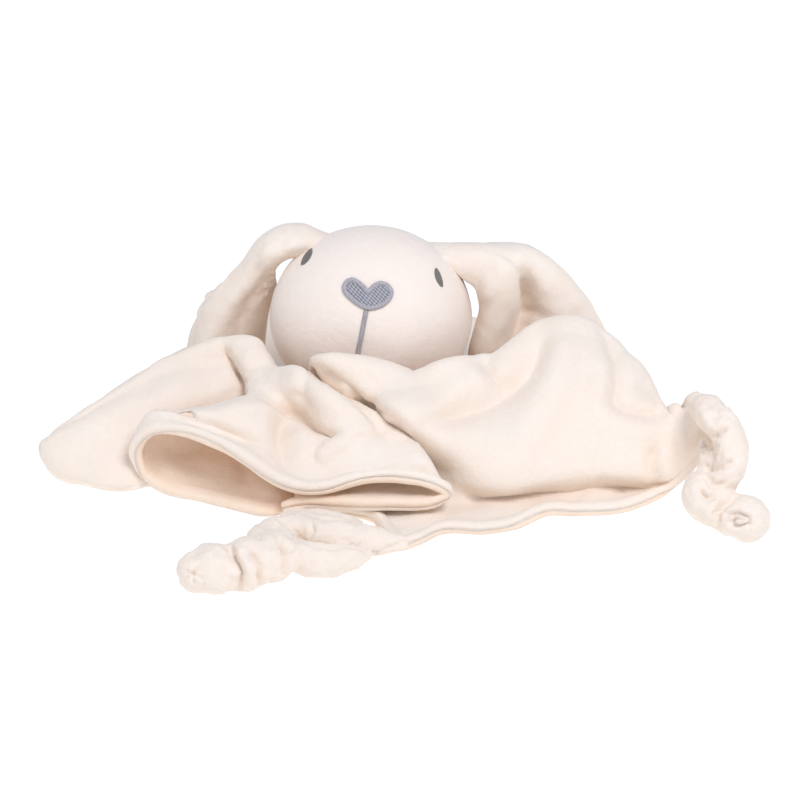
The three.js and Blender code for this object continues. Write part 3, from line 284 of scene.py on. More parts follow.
@dataclass(frozen=True)
class FloorFinish:
    """The plain pale surface that the toy lies on."""

    name: str = "pale_floor"
    colour: tuple = (0.35, 0.34, 0.33)
    roughness: float = 1.0
    specular: float = 0.0
    glow_colour: tuple = (0.95, 1.0, 1.07)
    glow: float = 0.86


Finish = Union[VelourFinish, ThreadFinish, FloorFinish]
Value = Union[NodeSocket, float, tuple]


@dataclass(frozen=True)
class Crease:
    """A crease or a soft ridge, drawn where the photograph shows it.

    Width is in the picture's pixels and rise in millimetres, below zero for a crease. Points are
    places in the picture.
    """

    width: float
    rise: float
    points: tuple
    fading: float = 0.18
    end_share: float = 0.25

    def lift(self, pixels: np.ndarray) -> np.ndarray:
        """Returns how far it moves what is seen at each place, less towards its two ends.

        Args:
            pixels: places in the picture.

        Returns:
            Millimetres along the normal, one for each place.
        """
        line = np.array(self.points, float)
        nearest = np.full(len(pixels), np.inf)
        at = np.zeros(len(pixels))
        lengths = np.linalg.norm(np.diff(line, axis=0), axis=1)
        whole, run = lengths.sum(), 0.0
        for start, end, length in zip(line[:-1], line[1:], lengths):
            share = np.clip(((pixels - start) @ (end - start)) / length ** 2, 0, 1)
            away = np.linalg.norm(pixels - start - share[:, None] * (end - start), axis=1)
            closer = away < nearest
            nearest = np.where(closer, away, nearest)
            at = np.where(closer, (run + share * length) / whole, at)
            run += length
        fade = np.clip(np.minimum(at, 1 - at) / self.fading, 0, 1)
        fade = fade * (1 - self.end_share) + self.end_share
        return self.rise * fade * np.exp(-(nearest / self.width) ** 2)


def creases(*rows: tuple) -> tuple:
    """Returns a crease for each row of width, rise and points."""
    return tuple(Crease(width, rise, tuple(points)) for width, rise, *points in rows)


CLOTH_CREASES = creases(
    # The right panel's edge and the pocket under it.
    (5, -6, (321, 363), (335, 375), (350, 386), (365, 401), (379, 411), (391, 414)),
    (9, 2.4, (312, 358), (320, 367), (338, 382), (358, 398), (374, 413), (381, 424)),
    (9, 2.2, (322, 357), (345, 362), (375, 370), (402, 377), (426, 377)),
    (13, -2.6, (409, 370), (428, 383), (440, 400)),
    (7, -3.6, (393, 416), (402, 432), (412, 448)),
    # The right wing.
    (7, -4.2, (480, 357), (486, 368), (496, 379), (512, 381)),
    (15, -8, (543, 326), (541, 348), (532, 370), (512, 388), (486, 402), (455, 412), (428, 428)),
    (14, 2.2, (452, 358), (462, 378), (470, 392)),
    (9, 1.6, (470, 366), (478, 382), (500, 394)),
    (20, 4.6, (562, 322), (560, 350), (549, 392), (524, 436), (506, 474)),
    (22, 2, (452, 440), (490, 452), (530, 440)),
    (8, -4.4, (600, 330), (613, 358), (617, 385), (612, 402), (622, 411), (642, 416), (662, 418)),
    (12, -2.4, (640, 375), (646, 392), (652, 405)),
    (13, 3, (594, 345), (600, 375), (596, 405), (612, 424), (650, 432), (690, 428)),
    (7, -4.2, (654, 446), (650, 464), (656, 480)),
    (7, 2.2, (668, 446), (664, 462), (670, 478)),
    (9, 1.8, (636, 452), (640, 468), (634, 476)),
    # The left wing.
    (5, -4, (222, 346), (233, 363), (246, 386)),
    (9, 2, (236, 340), (246, 358), (252, 374)),
    (16, -2.6, (212, 350), (206, 372), (214, 394)),
    (18, 2.2, (176, 358), (176, 386), (160, 410)),
    (18, 2, (60, 440), (90, 450), (120, 472)),
    # The fold below the left of the chin, and the deep valley under it.
    (7, 1.8, (255, 346), (251, 364), (255, 384), (268, 396)),
    (6, -7, (262, 399), (284, 406), (300, 415), (312, 427), (327, 435), (343, 437)),
    (9, 1.6, (264, 384), (284, 388), (298, 384), (308, 368)),
    (7, -2.2, (308, 372), (303, 392), (312, 414)),
    (12, 1.6, (322, 384), (334, 400), (340, 418)),
    (8, 1.4, (356, 394), (370, 410), (382, 424)),
    (5, -2.4, (346, 438), (366, 440), (386, 428)),
    # The flap in front.
    (6, 3.6, (354, 432), (337, 446), (318, 464)),
    (10, -5.6, (284, 414), (280, 440), (290, 464)),
    (7, 2.4, (300, 432), (305, 450), (301, 464)),
    (10, 2.2, (262, 404), (258, 424), (262, 444)),
    (5, 1.2, (244, 402), (236, 411), (226, 418)),
    (7, -2, (197, 421), (230, 434), (264, 446), (285, 467), (304, 475)),
    (8, 2.4, (393, 430), (410, 447), (432, 466)),
    # The hem on the floor.
    (5, -1.6, (568, 497), (572, 503), (580, 499)),
    (8, -1.4, (476, 488), (474, 502), (480, 512)),
    (7, -1.4, (618, 484), (622, 492), (616, 499)),
    (4, -2.8, (241, 464), (246, 476), (243, 487)),
)
FRONT_LEFT_CREASES = creases(
    (3.4, -4.2, (228, 543), (234, 558), (242, 574), (238, 592)),
    (3, -3, (250, 546), (261, 566), (257, 590)),
    (3.4, -4.4, (277, 534), (287, 551), (287, 562), (281, 579)),
    (3, -1.6, (284, 549), (291, 556), (296, 552)),
    (3, -2.6, (306, 541), (320, 544), (335, 545), (349, 543), (362, 548)),
    (3.4, -1.6, (282, 522), (292, 534), (300, 540)),
    (3, -1.4, (310, 518), (312, 530), (308, 539)),
    (2.6, -1.2, (365, 553), (380, 553), (400, 543), (430, 526)),
    (2.2, -1.4, (184, 582), (192, 574), (201, 565)),
    (2, -1.2, (183, 570), (192, 574), (204, 579)),
    (2, -1, (192, 574), (194, 585)),
    (5, 1.4, (242, 556), (250, 572), (248, 588)),
    (6, 1.4, (268, 546), (275, 562), (270, 582)),
    (9, 1, (205, 548), (212, 566), (210, 588)),
)
RIGHT_CREASES = creases(
    (3.4, -2.8, (698, 446), (712, 438), (727, 426)),
    (2.8, -1.6, (697, 453), (708, 448), (720, 444)),
    (6, -1.6, (708, 396), (716, 408), (714, 420)),
    (2, -2.6, (724, 521), (727, 514), (738, 512), (749, 517), (750, 524), (738, 527), (730, 524),
     (734, 519), (744, 520)),
    (3.6, -3, (697, 490), (707, 498), (717, 494)),
    (3.4, -3.4, (737, 494), (724, 503), (716, 515), (718, 530)),
    (4, -3, (735, 460), (722, 466), (702, 468)),
    (3, -1.6, (706, 476), (712, 486), (726, 484)),
)
EAR_CREASES = creases(
    (4, -1.6, (288, 242), (276, 250), (264, 262), (255, 276)),
    (7, -2.6, (272, 268), (262, 284), (246, 306), (237, 332)),
    (7, 1.6, (240, 262), (222, 292), (204, 322)),
    (7, 0.8, (440, 256), (470, 257), (505, 258)),
    (8, 1.2, (547, 268), (566, 292), (584, 312)),
    (5, -1.4, (523, 312), (535, 310), (547, 320)),
)


@dataclass(frozen=True)
class PictureFrame:
    """The photograph's camera, which tells where in the picture a point of the toy lies."""

    focal_pixels: float = 2105.0
    centre: float = 400.0
    elevation: float = 24.0
    eye: tuple = (13.7767, -929.5831, 424.7156)
    bin_pixels: float = 7.0
    see_depth: float = 6.0
    full_facing: float = 0.4

    def project(self, points: np.ndarray) -> tuple:
        """Returns where points in millimetres lie in the picture, and how far they are.

        Args:
            points: places of the toy in millimetres.

        Returns:
            Places in the picture, and depths.
        """
        tilt = math.radians(self.elevation)
        away = points - np.array(self.eye)
        depth = away[:, 1] * math.cos(tilt) - away[:, 2] * math.sin(tilt)
        lift = away[:, 1] * math.sin(tilt) + away[:, 2] * math.cos(tilt)
        across = self.centre + self.focal_pixels * away[:, 0] / depth
        down = self.centre - self.focal_pixels * lift / depth
        return np.stack([across, down], 1), depth

    def ray(self, across: float, down: float) -> np.ndarray:
        """Returns the way from the camera through one place of the picture.

        Args:
            across: pixels from the left.
            down: pixels from the top.

        Returns:
            The way, one unit deep.
        """
        tilt = math.radians(self.elevation)
        ahead = np.array([0.0, math.cos(tilt), -math.sin(tilt)])
        upward = np.array([0.0, math.sin(tilt), math.cos(tilt)])
        aside = np.array([1.0, 0.0, 0.0])
        return (ahead + aside * (across - self.centre) / self.focal_pixels
                - upward * (down - self.centre) / self.focal_pixels)

    def place(self, across: float, down: float, inward: float) -> list:
        """Returns the point in millimetres that is seen at a place and lies at a given Y."""
        way = self.ray(across, down)
        return list(np.array(self.eye) + way * (inward - self.eye[1]) / way[1])

    def seen(self, pixels: np.ndarray, depth: np.ndarray) -> np.ndarray:
        """Returns which points nothing nearer hides.

        Args:
            pixels: places in the picture.
            depth: how far each point is.

        Returns:
            One truth value for each point.
        """
        bins = np.floor(pixels / self.bin_pixels).astype(int)
        bins -= bins.min(axis=0)
        nearest = np.full(bins.max(axis=0) + 1, np.inf)
        np.minimum.at(nearest, (bins[:, 0], bins[:, 1]), depth)
        return depth < nearest[bins[:, 0], bins[:, 1]] + self.see_depth

    def pressed(self, points: np.ndarray, normals: np.ndarray, lines: tuple,
                both_sides: bool) -> np.ndarray:
        """Returns how far each point moves along its normal, in millimetres.

        Args:
            points: places of the toy in millimetres.
            normals: their unit normals.
            lines: the creases to press.
            both_sides: whether the surface may be seen from its other side.

        Returns:
            One distance for each point.
        """
        pixels, depth = self.project(points)
        facing = (unit(np.array(self.eye) - points) * normals).sum(axis=1)
        turned = facing if both_sides else np.maximum(facing, 0)
        side = np.clip(turned / self.full_facing, -1, 1) * self.seen(pixels, depth)
        return sum((line.lift(pixels) for line in lines), np.zeros(len(points))) * side


class Graph:
    """A node tree that is put together in few words."""

    def __init__(self, tree: NodeTree) -> None:
        """Takes the tree that it adds to."""
        self.tree = tree

    def feed(self, value: Value, socket: NodeSocket) -> None:
        """Links a socket to an input, or sets the input's value."""
        if isinstance(value, NodeSocket):
            self.tree.links.new(value, socket)
        else:
            socket.default_value = value

    def fill(self, node: Node, **inputs: Value) -> Node:
        """Feeds a node's inputs, by name with underscores for spaces, and returns the node."""
        for key, value in inputs.items():
            self.feed(value, node.inputs[key.replace("_", " ")])
        return node

    def add(self, kind: str, **inputs: Value) -> Node:
        """Adds a node of a kind, feeds its inputs and returns it."""
        return self.fill(self.tree.nodes.new("ShaderNode" + kind), **inputs)

    def math(self, operation: str, *values: Value) -> NodeSocket:
        """Adds a Math node that works on sockets or numbers.

        Args:
            operation: what the node does.
            values: sockets or numbers.

        Returns:
            The node's output.
        """
        node = self.add("Math")
        node.operation = operation
        for value, socket in zip(values, node.inputs):
            self.feed(value, socket)
        return node.outputs[0]

    def shared(self, group: NodeTree, **values: float) -> Node:
        """Places a shared node group and sets its inputs.

        Args:
            group: the node group.
            values: its inputs, with underscores for spaces.

        Returns:
            The new node.
        """
        node = self.add("Group")
        node.node_tree = group
        return self.fill(node, **values)


def new_group(name: str, inputs: dict, outputs: tuple) -> tuple:
    """Starts a shared node group.

    Args:
        name: the group's name.
        inputs: each input's value by the input's name.
        outputs: the outputs' names.

    Returns:
        Its graph, the sockets that hold its inputs and the sockets that take its outputs.
    """
    tree = bpy.data.node_groups.new(name, "ShaderNodeTree")
    for way, keys in (("INPUT", inputs), ("OUTPUT", outputs)):
        for key in keys:
            socket = tree.interface.new_socket(name=key, in_out=way, socket_type="NodeSocketFloat")
            if way == "INPUT":
                socket.default_value = inputs[key]
    start, end = tree.nodes.new("NodeGroupInput"), tree.nodes.new("NodeGroupOutput")
    return Graph(tree), start.outputs, end.inputs


@dataclass(frozen=True)
class Pile:
    """The brushed pile: tufts that lean in patches."""

    tuft_scale: float = 600.0
    patch_scale: float = 34.0
    clump_scale: float = 0.42
    clump_depth: float = -0.45
    patch_shade: float = 0.55
    lean_shade: float = 0.35

    def build(self) -> NodeTree:
        """Builds the node group that gives its colour mask and height."""
        graph, given, taken = new_group(
            "brushed_pile", {"Tuft Scale": self.tuft_scale}, ("Shade", "Height"))
        place = graph.add("TexCoord").outputs["Object"]
        tufts = graph.add("TexNoise", Vector=place, Scale=given["Tuft Scale"], Detail=3.0,
                          Roughness=0.65)
        patches = graph.add("TexNoise", Vector=place, Scale=self.patch_scale, Detail=4.0,
                            Roughness=0.55, Distortion=0.6)
        clump_scale = graph.math("MULTIPLY", given["Tuft Scale"], self.clump_scale)
        clumps = graph.add("TexVoronoi", Vector=place, Scale=clump_scale)
        lean = graph.math("MULTIPLY_ADD", clumps.outputs["Distance"], self.clump_depth,
                          tufts.outputs[0])
        graph.feed(lean, taken["Height"])
        graph.feed(graph.math("MULTIPLY_ADD", patches.outputs[0], self.patch_shade,
                              graph.math("MULTIPLY", lean, self.lean_shade)), taken["Shade"])
        return graph.tree


@dataclass(frozen=True)
class HemStitch:
    """The topstitch: short sunken stitches in a line beside the hem, on the cloth's own UV map."""

    line: float = 0.0058
    length: float = 0.0032
    half_width: float = 0.0009
    pucker_reach: float = 0.0034
    steady: float = 0.65

    def near(self, graph: Graph, away: NodeSocket, reach: float) -> NodeSocket:
        """Returns 1 on the line, falling to 0 at a reach from it."""
        share = graph.math("SUBTRACT", 1.0, graph.math("DIVIDE", away, reach))
        return graph.math("MAXIMUM", share, 0.0)

    def build(self) -> NodeTree:
        """Builds the node group that gives the stitches' depth and the cloth's pucker."""
        graph, _, taken = new_group("hem_stitch", {}, ("Depth", "Pucker"))
        uv = graph.add("UVMap")
        uv.uv_map = HEM_MAP
        along, inward, _ = graph.add("SeparateXYZ", Vector=uv.outputs[0]).outputs
        turn = graph.math("DIVIDE", along, self.length)
        wave = graph.math("SINE", graph.math("MULTIPLY", turn, 2.0 * math.pi))
        away = graph.math("ABSOLUTE", graph.math("SUBTRACT", inward, self.line))
        held = graph.math("MULTIPLY_ADD", wave, 1.0 - self.steady, self.steady)
        stitch = graph.math("MULTIPLY", self.near(graph, away, self.half_width), held)
        graph.feed(stitch, taken["Depth"])
        reach = self.near(graph, away, self.pucker_reach)
        graph.feed(graph.math("MULTIPLY", reach, wave), taken["Pucker"])
        return graph.tree


@dataclass(frozen=True)
class LaidThread:
    """Laid embroidery thread: fine parallel runs with a slow wander, crossed by finer ones."""

    wander_scale: float = 260.0
    wander: float = 1.2
    cross_scale: float = 3900.0
    cross_height: float = 0.3
    height_shade: float = 0.5
    wander_shade: float = 0.35

    def build(self) -> NodeTree:
        """Builds the node group that gives its colour mask and height."""
        graph, given, taken = new_group(
            "laid_thread", {"Run Scale": 1500.0, "Angle": 0.0}, ("Shade", "Height"))
        place = graph.add("TexCoord").outputs["Object"]
        turned = graph.add("VectorRotate", Vector=place, Angle=given["Angle"])
        turned.rotation_type = "Y_AXIS"
        drift = graph.add("TexNoise", Vector=turned.outputs[0], Scale=self.wander_scale,
                          Detail=2.0).outputs[0]
        aside, _, upward = graph.add("SeparateXYZ", Vector=turned.outputs[0]).outputs
        pace = graph.math("MULTIPLY", given["Run Scale"], 2.0)
        phase = graph.math("MULTIPLY_ADD", drift, self.wander, graph.math("MULTIPLY", aside, pace))
        run = graph.math("MULTIPLY_ADD", graph.math("SINE", phase), 0.5, 0.5)
        cross = graph.math("SINE", graph.math("MULTIPLY", upward, self.cross_scale))
        height = graph.math("MULTIPLY_ADD", cross, self.cross_height, run)
        graph.feed(height, taken["Height"])
        graph.feed(graph.math("MULTIPLY_ADD", height, self.height_shade,
                              graph.math("MULTIPLY", drift, self.wander_shade)), taken["Shade"])
        return graph.tree


class Wardrobe:
    """Makes each finish once and dresses the pieces in it."""

    mix_places: tuple = (0.32, 0.62)

    def __init__(self) -> None:
        """Builds the shared node groups."""
        self.pile = Pile().build()
        self.stitch = HemStitch().build()
        self.thread = LaidThread().build()
        self.made: dict = {}

    def base(self, finish: Finish) -> tuple:
        """Starts the material of a finish.

        Args:
            finish: its name and its gloss.

        Returns:
            Its material, its graph and its Principled BSDF.
        """
        material = bpy.data.materials.new(finish.name)
        material.use_nodes = True
        shader = material.node_tree.nodes["Principled BSDF"]
        shader.inputs["Roughness"].default_value = finish.roughness
        shader.inputs["Specular IOR Level"].default_value = finish.specular
        return material, Graph(material.node_tree), shader

    def cover(self, finish: Finish, graph: Graph, shader: Node, pattern: Node) -> Node:
        """Lets a pattern mix the colours and raise the surface.

        Args:
            finish: the colours and the relief.
            graph: the material's graph.
            shader: its shader.
            pattern: the node that gives Shade and Height.

        Returns:
            The bump node.
        """
        ramp = graph.add("ValToRGB")
        low, high = ramp.color_ramp.elements
        low.color, high.color = (*finish.shade, 1.0), (*finish.light, 1.0)
        low.position, high.position = self.mix_places
        graph.feed(pattern.outputs["Shade"], ramp.inputs[0])
        graph.feed(ramp.outputs[0], shader.inputs["Base Color"])
        bump = graph.add("Bump", Strength=finish.relief, Distance=finish.height,
                         Height=pattern.outputs["Height"])
        graph.feed(bump.outputs[0], shader.inputs["Normal"])
        return bump

    def velour(self, finish: VelourFinish) -> Material:
        """Makes the velour material of a finish.

        Args:
            finish: its colours, sheen, tufts and stitches.

        Returns:
            The material.
        """
        material, graph, shader = self.base(finish)
        shader.inputs["Sheen Weight"].default_value = finish.sheen
        shader.inputs["Sheen Roughness"].default_value = finish.sheen_roughness
        pattern = graph.shared(self.pile, Tuft_Scale=finish.tuft_scale)
        bump = self.cover(finish, graph, shader, pattern)
        if finish.stitched:
            stitch = graph.shared(self.stitch)
            depth = graph.math("MULTIPLY", stitch.outputs["Depth"], -1.0)
            sunk = graph.math("MULTIPLY_ADD", stitch.outputs["Pucker"], finish.pucker, depth)
            under = graph.add("Bump", Strength=finish.stitch_relief, Distance=finish.stitch_height,
                              Height=sunk)
            graph.feed(under.outputs[0], bump.inputs["Normal"])
        return material

    def threads(self, finish: ThreadFinish) -> Material:
        """Makes the embroidery material of a finish.

        Args:
            finish: its colours, gloss and runs of thread.

        Returns:
            The material.
        """
        material, graph, shader = self.base(finish)
        pattern = graph.shared(self.thread, Run_Scale=finish.run_scale, Angle=finish.run_angle)
        self.cover(finish, graph, shader, pattern)
        return material

    def floor(self, finish: FloorFinish) -> Material:
        """Makes the floor's material.

        Args:
            finish: its colour and its glow.

        Returns:
            The material.
        """
        material, _, shader = self.base(finish)
        shader.inputs["Base Color"].default_value = (*finish.colour, 1.0)
        shader.inputs["Emission Color"].default_value = (*finish.glow_colour, 1.0)
        shader.inputs["Emission Strength"].default_value = finish.glow
        return material

    def dress(self, piece: Object, finish: Finish) -> None:
        """Gives a piece its material, and reports it.

        Args:
            piece: the piece, with its mesh made.
            finish: the finish that it wears.
        """
        if finish.name not in self.made:
            make = self.velour if isinstance(finish, VelourFinish) else self.threads
            self.made[finish.name] = make(finish)
        piece.data.materials.clear()
        piece.data.materials.append(self.made[finish.name])
        LOG.info("%s: %d faces", piece.name, len(piece.data.polygons))


def unit(vectors: np.ndarray) -> np.ndarray:
    """Returns vectors of length one."""
    return vectors / np.maximum(np.linalg.norm(vectors, axis=-1, keepdims=True), LEAST_LENGTH)


def lengths_along(points: np.ndarray) -> np.ndarray:
    """Returns how far each point lies from the first, along their first axis."""
    steps = np.linalg.norm(np.diff(points, axis=0), axis=-1)
    return np.concatenate([np.zeros_like(steps[:1]), np.cumsum(steps, axis=0)])


def curve(keys: np.ndarray, at: np.ndarray, places: np.ndarray) -> np.ndarray:
    """Reads the smooth curve through keys at uneven places.

    Args:
        keys: the keys, one after another on the first axis.
        at: the place of each key, rising.
        places: where to read the curve.

    Returns:
        One entry for each place.
    """
    spread = (slice(None),) + (None,) * (keys.ndim - 1)
    steps = np.diff(at)
    ways = np.diff(keys, axis=0) / steps[spread]
    before, after = steps[:-1][spread], steps[1:][spread]
    inner = (ways[:-1] * after + ways[1:] * before) / (before + after)
    slope = np.concatenate([ways[:1], inner, ways[-1:]])
    index = np.clip(np.searchsorted(at, places, side="right") - 1, 0, len(steps) - 1)
    step = steps[index][spread]
    share = ((places - at[index]) / steps[index])[spread]
    rest = 1.0 - share
    start = ((1.0 + 2.0 * share) * rest * rest * keys[index]
             + share * rest * rest * step * slope[index])
    end = (share * share * (3.0 - 2.0 * share) * keys[index + 1]
           - share * share * rest * step * slope[index + 1])
    return start + end


def ring_curve(rows: list, places: np.ndarray) -> np.ndarray:
    """Follows the closed curve through a ring's rows.

    Args:
        rows: the place, from 0 to 100, and the point of each key.
        places: where to read the curve.

    Returns:
        One point for each place.
    """
    keys = np.array(rows, float)
    at = np.concatenate([keys[-2:, 0] - 100, keys[:, 0], keys[:3, 0] + 100])
    return curve(np.concatenate([keys[-2:, 1:], keys[:, 1:], keys[:3, 1:]]), at, places)


def outline_curve(points: tuple, places: np.ndarray) -> np.ndarray:
    """Follows the closed curve through evenly spread points."""
    rows = [[100 * index / len(points), *point] for index, point in enumerate(points)]
    return ring_curve(rows, places)


def spline_line(keys: np.ndarray, shares: np.ndarray) -> np.ndarray:
    """Reads a smooth curve along the first axis of its keys, at shares from 0 to 1."""
    steps = (keys[1:] - keys[:-1]).reshape(len(keys) - 1, -1, keys.shape[-1])
    gaps = np.linalg.norm(steps, axis=2).mean(axis=1)
    at = np.concatenate([[0], np.cumsum(np.sqrt(gaps))])
    return curve(keys, at / at[-1], shares)


def spline_sheet(rows: np.ndarray, down: np.ndarray, across: np.ndarray) -> np.ndarray:
    """Follows smooth curves through rows of points, first down the rows, then across them.

    Args:
        rows: keys down by keys across by coordinates.
        down: where to read down the rows, from 0 to 1.
        across: where to read across them, from 0 to 1.

    Returns:
        The finer grid.
    """
    finer = spline_line(rows, down)
    return spline_line(finer.transpose(1, 0, 2), across).transpose(1, 0, 2)


def grid_normals(points: np.ndarray, closed: bool) -> np.ndarray:
    """Returns unit normals of a grid of points, upwards where it lies flat.

    Args:
        points: rows by columns by 3.
        closed: whether the columns close to a ring.

    Returns:
        One normal for each point.
    """
    if closed:
        across = np.roll(points, -1, 1) - np.roll(points, 1, 1)
    else:
        across = np.gradient(points, axis=1)
    return unit(np.cross(across, np.gradient(points, axis=0)))


def smoothed(values: np.ndarray, rounds: int, closed: bool) -> np.ndarray:
    """Evens out a grid of values, wrapping its columns where it is closed.

    Args:
        values: rows by columns, with or without coordinates.
        rounds: how often.
        closed: whether the columns close to a ring.

    Returns:
        The evened values.
    """
    for _ in range(rounds):
        first, last = values[:, :1], values[:, -1:]
        before, after = (last, first) if closed else (first, last)
        beside = np.concatenate([before, values, after], 1)
        values = (beside[:, :-2] + 2 * values + beside[:, 2:]) / 4
        ends = np.concatenate([values[:1], values, values[-1:]], 0)
        values = (ends[:-2] + 2 * values + ends[2:]) / 4
    return values


def even_normals(points: np.ndarray, rounds: int, closed: bool) -> np.ndarray:
    """Returns the unit normals of a grid, evened out."""
    return unit(smoothed(grid_normals(points, closed), rounds, closed))


def shifted(points: np.ndarray, normals: np.ndarray, distance: np.ndarray) -> np.ndarray:
    """Returns a grid of points moved along their normals."""
    return points + normals * distance[:, :, None]


def rounded(away: np.ndarray, radius: float) -> np.ndarray:
    """Returns 0 at an edge, rising in a quarter of a circle to 1 at a radius from it."""
    edge = np.clip(away / radius, 0, 1)
    return np.sqrt(np.maximum(1 - (1 - edge) ** 2, 0))


def ripples(places: np.ndarray, scale: float) -> np.ndarray:
    """Returns soft noise at each place, from about -1 to 1."""
    return np.array([noise.fractal(Vector(place) * scale, *RIPPLE_NOISE) for place in places])


def grid_bmesh(points: np.ndarray, uv: np.ndarray = None) -> BMesh:
    """Makes a bmesh from a grid of points, joined where its edges meet.

    Args:
        points: rows by columns by 3, in metres.
        uv: rows by columns by 2, for the hem's map.

    Returns:
        The new bmesh.
    """
    rows, columns = points.shape[:2]
    mesh_bm = bmesh.new()
    bmesh.ops.create_grid(mesh_bm, x_segments=columns - 1, y_segments=rows - 1, size=1.0)
    places = {}
    for vert in mesh_bm.verts:
        row, column = (vert.co.y + 1) / 2 * (rows - 1), (vert.co.x + 1) / 2 * (columns - 1)
        places[vert] = round(row), round(column)
        vert.co = points[places[vert]]
    if uv is not None:
        layer = mesh_bm.loops.layers.uv.new(HEM_MAP)
        for face in mesh_bm.faces:
            for loop in face.loops:
                loop[layer].uv = uv[places[loop.vert]]
    bmesh.ops.remove_doubles(mesh_bm, verts=mesh_bm.verts, dist=JOIN_DISTANCE)
    bmesh.ops.recalc_face_normals(mesh_bm, faces=mesh_bm.faces)
    return mesh_bm


def finished(name: str, mesh_bm: BMesh) -> Object:
    """Turns a bmesh into a smooth shaded object in the scene.

    Args:
        name: the piece's name.
        mesh_bm: the bmesh, which is used up.

    Returns:
        The new object.
    """
    mesh = bpy.data.meshes.new(name)
    mesh_bm.to_mesh(mesh)
    mesh_bm.free()
    mesh.shade_smooth()
    item = bpy.data.objects.new(name, mesh)
    bpy.context.scene.collection.objects.link(item)
    return item


def grid_mesh(name: str, points: np.ndarray, uv: np.ndarray = None) -> Object:
    """Makes a smooth object from a grid of points in metres."""
    return finished(name, grid_bmesh(points, uv))


def baked(item: Object) -> None:
    """Applies an object's modifiers to its mesh.

    Args:
        item: the object.
    """
    graph = bpy.context.evaluated_depsgraph_get()
    mesh = bpy.data.meshes.new_from_object(item.evaluated_get(graph))
    item.modifiers.clear()
    item.data = mesh
    mesh.shade_smooth()


